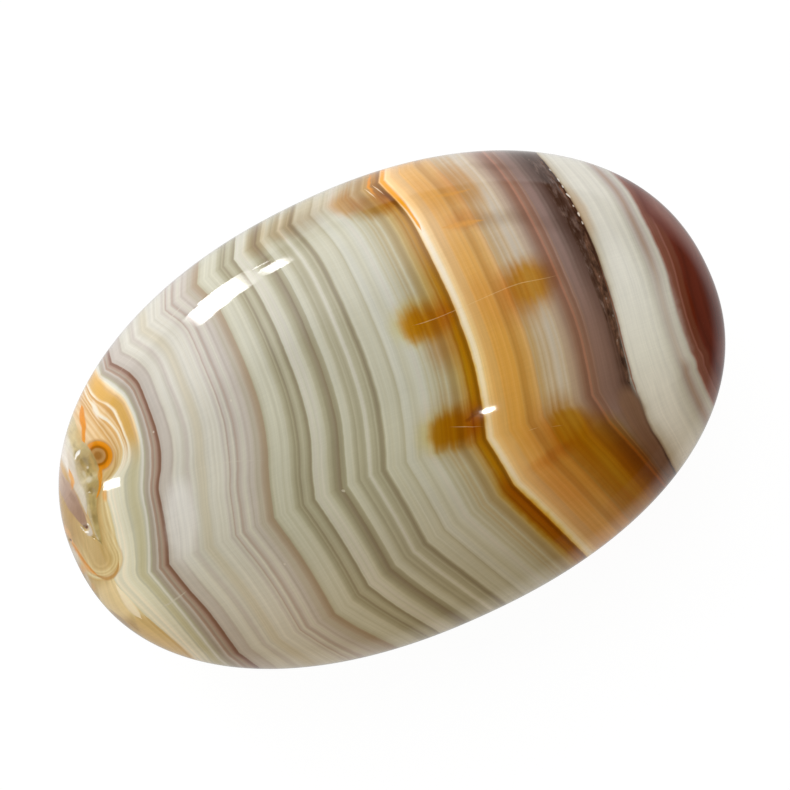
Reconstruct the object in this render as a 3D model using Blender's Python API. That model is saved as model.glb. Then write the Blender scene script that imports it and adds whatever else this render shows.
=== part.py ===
"""Banded calcite palm stone: one polished pebble that lies flat and fits a closed hand.

The stone is a single solid. Its body is a superellipsoid, a rounded form a little fuller than an
ellipsoid, whose outline is slightly broader at one end and bowed to one side, as a hand-shaped
pebble is. A small flat polished on the underside is what it rests on.

Units are metres. X runs along the stone, Y across it and Z up. The origin is the middle of the
resting flat.
"""

import bmesh
import bpy
from mathutils import Vector

# Driving dimensions
HALF_LENGTH = 0.03484  # middle to either end, along X
HALF_WIDTH = 0.02262  # middle to either side, along Y
HALF_THICKNESS = 0.0130  # girdle to crown, before the resting flat is cut
OUTLINE_EXPONENT = 2.17  # 2 gives an ellipse in plan, more gives fuller corners
SECTION_EXPONENT = 2.2  # the same for the section through the thickness
END_TAPER = 0.016  # share by which the +X end is broader and the -X end narrower
SIDE_BOW = -0.00048  # how far the two ends bend sideways, along Y
FLAT_CUT = 0.00045  # depth of stone taken off the underside for the resting flat
FLAT_EDGE_EASE = 0.0008  # width of the eased edge round the flat

# Mesh density
CUTS_PER_SIDE = 25  # cuts across each side of the starting cube
EASE_SEGMENTS = 3

# Finish
STONE_COLOUR = (0.55, 0.50, 0.39, 1.0)  # linear: the sage and cream of most of the bands
STONE_ROUGHNESS = 0.12  # polished calcite
STONE_IOR = 1.59

FLAT_LEVEL = FLAT_CUT - HALF_THICKNESS  # height of the flat, measured from the girdle


def clear_scene():
    """Remove every object of the startup scene."""
    for obj in list(bpy.data.objects):
        bpy.data.objects.remove(obj)


def polished_calcite():
    """Plain base material for the stone."""
    material = bpy.data.materials.new("polished_calcite")
    material.use_nodes = True
    shader = material.node_tree.nodes["Principled BSDF"]
    shader.inputs["Base Color"].default_value = STONE_COLOUR
    shader.inputs["Roughness"].default_value = STONE_ROUGHNESS
    shader.inputs["IOR"].default_value = STONE_IOR
    shader.inputs["Metallic"].default_value = 0.0
    return material


def pebble_point(direction):
    """The point of the pebble's surface that lies in this direction from its middle."""
    x, y, z = direction
    outline = abs(x) ** OUTLINE_EXPONENT + abs(y) ** OUTLINE_EXPONENT
    section = outline ** (SECTION_EXPONENT / OUTLINE_EXPONENT) + abs(z) ** SECTION_EXPONENT
    reach = section ** (-1 / SECTION_EXPONENT)
    along, across, up = x * reach, y * reach, z * reach
    return Vector(
        (
            HALF_LENGTH * along,
            HALF_WIDTH * across * (1 + END_TAPER * along) + SIDE_BOW * along**2,
            HALF_THICKNESS * up,
        )
    )


def shape_pebble(form):
    """Turn a finely cut cube into the pebble, centred on its girdle."""
    bmesh.ops.create_cube(form, size=2.0)
    bmesh.ops.subdivide_edges(form, edges=form.edges[:], cuts=CUTS_PER_SIDE, use_grid_fill=True)
    for vert in form.verts:
        vert.co = pebble_point(vert.co.normalized())


def cut_resting_flat(form):
    """Take the underside off at the flat's level and close the cut with one face."""
    cut = bmesh.ops.bisect_plane(
        form,
        geom=form.verts[:] + form.edges[:] + form.faces[:],
        plane_co=(0, 0, FLAT_LEVEL),
        plane_no=(0, 0, -1),
        clear_outer=True,
    )
    rim = [item for item in cut["geom_cut"] if isinstance(item, bmesh.types.BMEdge)]
    bmesh.ops.contextual_create(form, geom=rim)
    bmesh.ops.bevel(
        form,
        geom=rim,
        offset=FLAT_EDGE_EASE,
        segments=EASE_SEGMENTS,
        profile=0.5,
        affect="EDGES",
    )
    bmesh.ops.recalc_face_normals(form, faces=form.faces[:])


def build_palm_stone(collection):
    """The whole stone, standing on its flat with the flat's middle at the origin."""
    form = bmesh.new()
    shape_pebble(form)
    cut_resting_flat(form)
    bmesh.ops.translate(form, verts=form.verts[:], vec=(0, 0, -FLAT_LEVEL))
    mesh = bpy.data.meshes.new("palm_stone")
    form.to_mesh(mesh)
    form.free()
    mesh.shade_smooth()
    mesh.materials.append(polished_calcite())
    stone = bpy.data.objects.new("palm_stone", mesh)
    collection.objects.link(stone)
    return stone


def main():
    clear_scene()
    collection = bpy.data.collections.new("banded_calcite_palm_stone")
    bpy.context.scene.collection.children.link(collection)
    build_palm_stone(collection)


main()
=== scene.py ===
"""Banded calcite palm stone: the polished surface, its banding and a small studio.

Every length in the tables below is in millimetres in the stone's own frame: X along the stone, Y
across it, Z up from its resting flat. Where a table says band and fold, a place is given in the
stone's layering. Band is the place across the layers, read where they run straight. Fold is the
place along them, so that a kink in the layers has one fold number from end to end.
"""

import math

import bpy
from bpy.props import FloatProperty, FloatVectorProperty, PointerProperty
from mathutils import Matrix, Vector, noise


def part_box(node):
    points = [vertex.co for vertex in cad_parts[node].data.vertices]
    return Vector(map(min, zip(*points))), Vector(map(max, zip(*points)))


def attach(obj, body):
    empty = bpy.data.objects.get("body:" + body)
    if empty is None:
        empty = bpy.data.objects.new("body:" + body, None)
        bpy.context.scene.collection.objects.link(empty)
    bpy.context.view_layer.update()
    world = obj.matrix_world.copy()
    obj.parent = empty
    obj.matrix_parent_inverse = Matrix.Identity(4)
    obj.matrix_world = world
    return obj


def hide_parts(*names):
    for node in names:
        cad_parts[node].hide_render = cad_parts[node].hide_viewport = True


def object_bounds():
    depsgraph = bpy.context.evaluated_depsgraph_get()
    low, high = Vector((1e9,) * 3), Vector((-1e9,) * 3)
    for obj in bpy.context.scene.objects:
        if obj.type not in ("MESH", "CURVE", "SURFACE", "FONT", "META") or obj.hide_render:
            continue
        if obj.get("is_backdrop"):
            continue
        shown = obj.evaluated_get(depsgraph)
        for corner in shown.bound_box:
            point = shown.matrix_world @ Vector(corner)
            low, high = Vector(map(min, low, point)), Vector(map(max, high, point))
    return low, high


bl_info = {
    "name": "Banded calcite palm stone",
    "version": (1, 0, 0),
    "blender": (4, 5, 0),
    "location": "3D View > Sidebar > Palm stone",
    "description": "Models and dresses a polished palm stone of banded calcite",
    "category": "Object",
}

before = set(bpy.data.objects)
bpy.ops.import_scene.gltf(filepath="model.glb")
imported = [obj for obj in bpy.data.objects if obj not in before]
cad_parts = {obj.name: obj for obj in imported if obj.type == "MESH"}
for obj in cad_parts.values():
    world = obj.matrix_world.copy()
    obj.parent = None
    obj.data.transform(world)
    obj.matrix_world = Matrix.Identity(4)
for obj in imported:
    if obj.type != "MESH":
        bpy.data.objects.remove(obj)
CAD_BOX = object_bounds()
LOW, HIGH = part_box("palm_stone")
MM = 0.001

# The solid's own proportions
HALF_LENGTH = (HIGH.x - LOW.x) / 2
GIRDLE = 0.01255  # height of the widest section above the flat
HALF_THICKNESS = HIGH.z - GIRDLE
HALF_WIDTH = 0.02262
OUTLINE_EXPONENT = 2.17
SECTION_EXPONENT = 2.2
END_TAPER = 0.016
SIDE_BOW = -0.00048
MESH_INSET = 0.9997  # keeps the fine surface inside the solid's box
SURFACE_CUTS = 90  # cuts across each side of the starting cube
PIT_CUTS = 4  # more cuts where the crown is pitted
POLISH_RIPPLE = 0.0015 * MM
RIPPLE_SCALE = 0.28  # per millimetre

# The studio
VIEW_CENTRE = (1.112 * MM, 1.089 * MM)  # plan place in the middle of the view
VIEW_WIDTH = 0.079  # seen from side to side at the widest section
FLOOR_SIZE = 3.0
PAPER_SHADE = "505050"
PAPER_ROUGHNESS = 0.9
LIGHT_DISTANCE = 1.0
# The lit paper that the polish mirrors: it lies to the window side and ends low over the horizon
SWEEP_TOWARDS = (-0.3, 0.95, 0.0)
SWEEP_GLOW = 0.75
SWEEP_SIDES = (-0.25, 0.55)  # where it begins and is full, as the cosine of the angle to that side
SWEEP_LEAST = 0.1  # what is left of it on the other side
SWEEP_TOP = (0.05, 0.13)  # where it ends, as the sine of its elevation
# The paper right under the rim, which it mirrors on every side
PAPER_GLOW = 0.5
PAPER_REACH = (-0.15, -0.65)  # where it begins and is full, as the sine of its elevation
# The haze of light round the windows
HAZE_TOWARDS = (-0.1, 0.8, 0.59)
HAZE_GLOW = 1.2
HAZE_SPREAD = (0.86, 0.985)  # its edge and where it is full, as the cosine of the angle to its middle
# Direction from the stone, width, height, roll and share of the window brightness
SOFTBOXES = [
    ("window_left_pane", (-0.2968, 0.9146, 0.2857), 0.040, 0.280, 0, 1.0),
    ("window_middle_pane", (-0.2502, 0.9329, 0.2566), 0.060, 0.310, 0, 1.0),
    ("window_right_pane", (-0.1949, 0.9493, 0.2469), 0.057, 0.292, 0, 1.0),
    ("window_left_fade", (-0.3210, 0.9059, 0.2857), 0.010, 0.262, 0, 0.45),
    ("window_left_haze", (-0.3306, 0.9033, 0.2857), 0.010, 0.245, 0, 0.15),
    ("window_right_fade", (-0.1608, 0.9582, 0.2469), 0.013, 0.280, 0, 0.45),
    ("window_right_haze", (-0.1444, 0.9625, 0.2469), 0.021, 0.265, 0, 0.15),
    ("strip_softbox", (-0.0860, 0.9465, 0.3111), 0.046, 0.130, -6, 1.0),
    ("strip_left_fade", (-0.1150, 0.9434, 0.3111), 0.012, 0.100, -6, 0.35),
    ("strip_right_fade", (-0.0570, 0.9485, 0.3111), 0.010, 0.110, -6, 0.35),
    ("strip_edge", (-0.1107, 0.9774, 0.1798), 0.042, 0.012, 19, 0.9),
    ("overhead_lamp", (0.1601, -0.1638, 0.9734), 0.010, 0.025, -18, 8.0),
    ("side_lamp", (-0.8322, 0.305, 0.473), 0.052, 0.190, 0, 1.2),
    ("fill_light", (0.0, 0.64, 0.77), 1.2, 1.2, 0, 1.0),
]

# Fold lines: where each line of kinks lies, as Y at a few X. The number is its fold coordinate.
FOLD_LINES = [
    (-24.0, [(-36, -24.0), (36, -24.0)]),
    (-13.4, [(-34, -14.0), (-24, -15.5), (-15, -16.2), (-8, -14.7), (-1, -13.4), (8, -12.1), (22, -10.2),
             (36, -9.0)]),
    (-6.0, [(-34, -4.1), (-23, -4.7), (-8, -5.0), (-1, -5.4), (8, -6.8), (22, -7.4), (36, -7.8)]),
    (21.0, [(-34, 10.5), (-28, 13.6), (-24.75, 15.4), (-15, 18.9), (-8, 20.2), (-1, 21.0), (8, 21.0),
            (22, 20.0), (36, 16.0)]),
    (24.0, [(-36, 24.0), (36, 24.0)]),
]
KINKS = (-13.4, -6.0, 21.0)

# Key layers of the bands, from the nucleus to the red end. Each is X at a few fold coordinates.
LAYERS = [
    (-23.95, [(24, -23.2), (21, -24.75), (18.6, -23.9), (15.7, -23.25), (13, -23.35), (9.4, -24.05),
              (7, -25.0), (4.8, -25.9), (1.8, -26.5), (-1, -27.2), (-6, -28.7), (-8.8, -27.7),
              (-13.4, -26.1), (-18, -24.2), (-24, -22.5)]),
    (-22.1, [(24, -21.3), (21, -23.15), (19.5, -22.45), (18, -21.9), (16, -21.55), (14, -21.65),
             (10, -22.0), (8, -22.4), (6, -23.15), (4, -24.2), (2, -24.65), (0, -25.05), (-3, -25.7),
             (-6, -26.55), (-8, -25.87), (-10, -25.0), (-13.4, -24.05), (-17, -22.5), (-24, -20.4)]),
    (-14.3, [(24, -12.4), (21, -15.2), (17, -14.0), (13, -14.1), (9, -14.3), (5, -14.9), (1.5, -16.0),
             (-1, -17.05), (-3, -17.6), (-6, -18.4), (-9.5, -17.25), (-13.4, -16.7), (-17, -15.0),
             (-24, -10.8)]),
    (-6.95, [(24, -5.4), (21, -7.65), (17, -6.95), (13, -6.8), (9, -6.95), (5, -7.3), (1, -8.1),
             (-1, -8.75), (-3, -9.56), (-6, -10.5), (-9.5, -9.8), (-13.4, -9.35), (-17, -7.85),
             (-24, -3.9)]),
    (0.25, [(24, 1.4), (21, -0.9), (17, 0.15), (13, 0.35), (9, 0.25), (5, 0.0), (1, -0.58), (-1, -1.1),
            (-3, -1.7), (-6, -2.85), (-9.5, -2.5), (-13.4, -2.25), (-17, -0.6), (-24, 3.0)]),
    (10.3, [(24, 10.6), (21, 8.7), (17, 10.0), (13, 10.25), (9, 10.3), (5, 10.1), (1, 9.55), (-3, 8.5),
            (-6, 7.55), (-9.5, 7.85), (-13.4, 8.05), (-17, 9.5), (-24, 12.4)]),
    (21.05, [(24, 18.1), (21, 19.2), (17, 20.45), (13, 20.95), (9, 21.05), (5, 20.95), (1, 20.7),
             (-3, 19.9), (-6, 19.1), (-9.5, 19.3), (-13.4, 19.45), (-17, 20.8), (-24, 22.9)]),
    (25.45, [(24, 22.7), (21, 23.2), (19, 23.95), (17, 24.6), (13, 25.33), (9, 25.45), (5, 25.15),
             (1, 24.65), (-3, 23.87), (-6, 23.3), (-9.5, 23.15), (-13.4, 23.0), (-15, 22.75), (-17, 23.0),
             (-24, 23.2)]),
    (31.05, [(24, 26.4), (21, 27.4), (17, 29.2), (14, 30.45), (12, 30.95), (9, 31.08), (6, 31.12),
             (3, 30.93), (1, 30.55), (-1, 30.2), (-3, 29.9), (-6, 29.65), (-9.5, 29.75), (-13.4, 29.5),
             (-17, 29.4), (-24, 29.4)]),
]
# Layers that wrap the nucleus at the narrow end: X at a few Y.
WRAPS = [
    (-27.6, [(18, -28.6), (15, -27.6), (13.5, -27.3), (12, -27.1), (10.2, -26.75), (8.4, -26.5),
             (6.8, -27.0), (6.2, -27.7), (5.2, -29.5), (4.4, -30.1), (3, -30.9), (1, -31.4), (-2, -32.4),
             (-4, -33.0), (-6, -33.2), (-8, -32.6), (-10, -31.6), (-12, -30.6), (-16, -28.6)]),
    (-26.5, [(18, -27.4), (15, -26.75), (14, -26.8), (13, -26.65), (12, -26.5), (11.3, -26.1),
             (10.5, -25.75), (9.5, -25.55), (8.5, -25.6), (7.7, -25.8), (6.8, -26.4), (6.2, -27.1),
             (5.5, -28.3), (4.5, -29.15), (3, -29.45), (0, -30.1), (-2, -30.85), (-3.7, -32.1),
             (-5, -31.85), (-8, -30.8), (-11, -29.6), (-16, -27.6)]),
    (-25.5, [(18, -26.9), (15.3, -26.35), (14.3, -26.3), (13.3, -25.95), (12.5, -25.3), (11.5, -24.95),
             (9.5, -25.03), (7.5, -25.3), (6.5, -25.9), (5.2, -27.4), (4.5, -27.8), (3, -28.25),
             (0.5, -28.75), (-1, -29.1), (-2.8, -29.7), (-4.2, -30.2), (-6, -29.7), (-8, -29.1),
             (-12, -28.0), (-16, -26.9)]),
]
# Share of iron stain in them, at a few Y
WRAP_WARMTH = [(24, 1.0), (10.5, 1.0), (8.5, 0.85), (7.0, 0.3), (5.0, 0.0), (-24, 0.0)]

# Outlines of the single features: X at a few Y, or band at a few fold coordinates.
GLASS_RIGHT = [(15, -28.4), (12.6, -28.9), (11, -29.05), (9.6, -28.85), (8.2, -28.72), (7, -28.8),
               (6, -29.15), (5, -29.8), (4, -30.5), (2.5, -31.05), (1, -31.5), (0, -31.75)]
GLASS_LEFT = [(15, -30.2), (12, -30.35), (10, -30.65), (8.6, -30.95), (7, -31.1), (5.5, -31.15), (4, -31.6),
              (2.5, -31.85), (1, -31.95), (0, -31.8)]
LENS_RIGHT = [(10, -32.05), (8, -32.25), (6.4, -31.95), (5, -31.98), (3.8, -32.0), (3, -32.12), (2, -32.35)]
LENS_LEFT = [(10, -33.2), (8, -33.15), (6, -33.3), (5, -33.3), (4, -33.1), (3, -32.85), (2, -32.5)]
CORE_EDGE = [(16, 31.3), (13, 31.5), (10, 31.5), (8.5, 31.96), (5, 33.17), (1.5, 34.3), (-1, 34.85),
             (-3.5, 35.1), (-6, 34.4), (-9, 33.8), (-12.5, 33.5), (-16, 33.2)]

# The layers, logged across the stone: band coordinate and colour. Colour blends between entries.
BAND_LOG = [
    (-30.5, "honey"), (-29.4, "honey_light"), (-28.8, "wheat"), (-28.3, "honey_light"), (-27.95, "wheat"),
    (-27.7, "honey"), (-27.5, "honey_light"), (-27.3, "wheat"), (-27.12, "straw"), (-26.95, "wheat"),
    (-26.78, "straw_pale"), (-26.64, "straw"), (-26.5, "buttermilk"), (-26.36, "milk_warm"),
    (-26.15, "cream"), (-26.0, "milk_warm"), (-25.8, "cream"), (-25.64, "buttermilk"), (-25.5, "cream"),
    (-25.3, "buttermilk"), (-25.15, "sage_cream"), (-24.9, "willow"), (-24.6, "willow_dark"),
    (-24.3, "willow"), (-24.1, "sage_cream"), (-23.99, "chalk"), (-23.9, "chalk"), (-23.74, "sage"),
    (-23.55, "taupe"), (-23.35, "taupe"), (-23.22, "lilac_grey"), (-23.1, "mauve_mist"),
    (-23.0, "rose_taupe"), (-22.84, "mauve_brown"), (-22.7, "taupe"), (-22.58, "rose_taupe"),
    (-22.44, "mauve_brown"), (-22.3, "rosewood"), (-22.16, "rosewood_dark"), (-22.08, "rosewood"),
    (-22.02, "lilac_grey"), (-21.6, "mauve_mist"), (-21.1, "mauve_mist"), (-20.8, "lilac_grey"),
    (-20.6, "bone"), (-19.9, "chalk"), (-19.65, "bone"), (-19.15, "mauve_mist"), (-18.8, "chalk"),
    (-18.55, "bone"), (-18.1, "parchment"), (-17.6, "parchment"), (-17.3, "bone"), (-16.85, "chalk"),
    (-16.45, "bone"), (-16.3, "chalk"), (-16.1, "bone"), (-15.85, "chalk"), (-15.5, "mauve_mist"),
    (-15.25, "bone"), (-15.12, "old_rose"), (-14.95, "mauve_mist"), (-14.6, "bone"), (-14.42, "lilac_grey"),
    (-14.3, "old_rose"), (-14.15, "lilac_grey"), (-13.95, "mauve_mist"), (-13.6, "bone"),
    (-13.3, "mauve_mist"), (-13.1, "lilac_grey"), (-12.9, "mauve_mist"), (-12.4, "drab"), (-12.1, "drab"),
    (-11.85, "tan"), (-11.45, "tan_dark"), (-11.25, "tan_dark"), (-11.13, "sage"), (-10.85, "sage_cream"),
    (-10.5, "cream_sage"), (-10.05, "cream_sage"), (-9.85, "sage_cream"), (-9.55, "cream_sage"),
    (-9.2, "sage_cream"), (-9.0, "sage"), (-8.75, "sage_olive"), (-8.55, "olive"), (-8.42, "sage_olive"),
    (-8.3, "olive"), (-8.18, "olive_brown"), (-8.05, "sage_olive"), (-7.7, "sage"), (-7.45, "sage_olive"),
    (-7.25, "olive"), (-7.1, "olive_brown"), (-7.0, "olive"), (-6.9, "cream_sage"), (-6.6, "bone"),
    (-6.25, "cream_sage"), (-6.05, "bone"), (-5.75, "cream_sage"), (-5.55, "sage_cream"), (-5.35, "sage"),
    (-5.05, "sage_olive"), (-4.8, "olive"), (-4.45, "olive_brown"), (-4.25, "umber_olive"),
    (-4.12, "olive"), (-3.72, "sage_olive"), (-3.6, "cream_sage"), (-3.2, "cream_sage"),
    (-2.95, "sage_cream"), (-2.7, "sage"), (-2.45, "sage_olive"), (-2.25, "sage"), (-1.9, "sage_olive"),
    (-1.6, "sage"), (-1.46, "cream_sage"), (-1.3, "bone"), (-1.14, "sage_cream"), (-0.98, "sage"),
    (-0.55, "sage_olive"), (-0.4, "sage"), (-0.2, "olive"), (0.0, "olive_brown"), (0.18, "olive"),
    (0.3, "sage"), (0.45, "cream_sage"), (1.1, "sage_cream"), (1.3, "cream_sage"), (1.9, "sage_cream"),
    (2.3, "sage"), (2.4, "cream_sage"), (2.6, "chalk_sage"), (3.0, "chalk_sage"), (3.3, "cream_sage"),
    (3.65, "sage_cream"), (4.0, "cream_sage"), (4.4, "chalk_sage"), (4.75, "bone"), (4.98, "chalk_sage"),
    (5.15, "cream_sage"), (5.45, "sage_pale"), (5.62, "sage_cream"), (6.0, "sand_sage"), (6.2, "sage_pale"),
    (6.45, "khaki"), (6.62, "sand_sage"), (6.82, "khaki"), (7.0, "khaki_light"), (7.2, "sage_pale"),
    (7.4, "khaki"), (7.75, "khaki_dark"), (8.05, "khaki_dark"), (8.4, "wheat_grey"), (8.6, "ochre_pale"),
    (8.8, "ochre_pale"), (9.05, "ochre"), (9.22, "amber"), (9.4, "ochre"), (9.52, "amber_light"),
    (9.66, "amber_light"), (9.8, "amber"), (9.98, "umber_amber"), (10.13, "umber_amber"), (10.24, "amber"),
    (10.34, "straw_warm"), (10.46, "cream_warm"), (10.62, "cream_bright"), (10.84, "cream_bright"),
    (10.98, "cream_warm"), (11.12, "straw_warm"), (11.26, "apricot_light"), (11.42, "apricot_light"),
    (11.7, "apricot_pale"), (11.9, "apricot_pale"), (12.2, "apricot_pale"), (12.4, "apricot_pale"),
    (12.6, "apricot"), (12.75, "apricot_deep"), (12.95, "apricot"), (13.25, "apricot_deep"),
    (13.5, "apricot_deep"), (13.7, "apricot"), (13.85, "apricot_deep"), (14.1, "apricot_deep"),
    (14.28, "caramel_light"), (14.5, "caramel"), (14.9, "caramel"), (15.1, "caramel_light"),
    (15.4, "apricot_dull"), (15.7, "apricot_pale"), (15.92, "caramel_rose"), (16.1, "sand"),
    (16.3, "caramel_grey"), (16.6, "sand"), (16.8, "rose_sand"), (16.95, "sand"), (17.3, "rose_sand"),
    (17.6, "sand"), (17.8, "rose_sand"), (18.1, "rose_pale"), (18.3, "rose_pale"), (18.55, "rose_sand"),
    (18.75, "rose_pale"), (18.95, "rose_sand"), (19.2, "rose_taupe_light"), (19.5, "rose_taupe_light"),
    (19.75, "rose_taupe"), (20.0, "mauve_brown"), (20.3, "rose_brown"), (20.6, "rosewood"),
    (20.8, "rosewood"), (20.92, "brick_pink"), (21.04, "brick_pink"), (21.15, "rose_brown"),
    (21.4, "rosewood"), (21.62, "rosewood"), (21.75, "plum_pale"), (21.85, "rose_brown"),
    (21.98, "plum_grey"), (22.4, "plum_grey"), (22.65, "plum_grey"), (22.85, "plum_mid"),
    (23.05, "plum_mid"), (23.25, "plum"), (23.45, "plum"), (23.7, "plum_dark"), (23.95, "plum_dark"),
    (24.15, "umber"), (24.3, "umber_dark"), (24.45, "umber"), (24.6, "umber_dark"), (24.8, "umber"),
    (25.0, "plum_dark"), (25.15, "umber"), (25.28, "umber_dark"), (25.47, "umber_dark"),
    (25.58, "tan_grey"), (25.8, "parchment"), (26.3, "bone"), (26.6, "ivory"), (26.95, "chalk"),
    (27.2, "ivory"), (27.6, "chalk"), (28.2, "ivory"), (28.7, "chalk"), (29.05, "ivory"), (29.35, "bone"),
    (29.6, "mauve_mist"), (29.85, "old_rose"), (30.05, "rose_taupe"), (30.25, "old_rose"),
    (30.5, "mauve_mist"), (30.8, "bone"), (30.95, "mauve_mist"), (31.04, "old_rose"), (31.14, "rust_pale"),
    (31.24, "rust"), (31.5, "rust_dark"), (31.75, "rust_dark"), (31.84, "rust"), (31.93, "rust"),
    (32.03, "rust_deep"), (32.4, "rust_deep"), (32.65, "oxblood"), (33.0, "oxblood_deep"),
    (33.6, "oxblood"), (34.5, "oxblood_deep"),
]
# The same wraps where iron has stained them, above the eye.
STAINED_LOG = [
    (-30.0, "peach"), (-29.2, "peach_light"), (-28.9, "peach"), (-28.6, "peach_light"), (-28.35, "peach"),
    (-28.1, "peach_light"), (-27.9, "peach"), (-27.7, "peach_deep"), (-27.6, "peach_light"),
    (-27.4, "peach_deep"), (-27.25, "peach"), (-27.05, "peach_light"), (-26.88, "peach_deep"),
    (-26.68, "peach"), (-26.55, "milk_warm"), (-26.42, "cream_warm"), (-26.2, "peach"),
    (-26.05, "peach_light"), (-25.85, "peach_deep"), (-25.65, "peach_deep"), (-25.52, "milk_warm"),
    (-25.42, "cream_warm"), (-25.25, "ochre_sun"), (-24.95, "ochre_sun"), (-24.7, "ochre_sun"),
    (-24.45, "peach"), (-24.25, "straw_warm"), (-24.08, "cream"), (-23.97, "milk"), (-23.88, "chalk"),
]
# The hooked layers below the nucleus: how far out from the hook's spine, and colour.
HOOK_LOG = [
    (0.0, "honey_light"), (0.5, "honey_light"), (0.75, "wheat"), (0.92, "honey_light"), (1.1, "wheat"),
    (1.3, "straw"), (1.42, "wheat"), (1.58, "straw"), (1.72, "wheat"), (1.86, "straw_pale"),
    (1.98, "straw"), (2.1, "ochre_sun"), (2.2, "ochre"), (2.32, "straw"),
]
# The eye: how far out from its middle, and colour.
EYE_LOG = [
    (0.0, "bark"), (0.3, "bark"), (0.55, "bark_light"), (0.72, "bark_light"), (0.84, "bark_dark"),
    (0.98, "bark_dark"), (1.08, "orange_deep"), (1.3, "orange"), (1.42, "orange"), (1.52, "caramel"),
    (1.62, "caramel_rose"), (1.78, "apricot_pale"),
]

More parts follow.
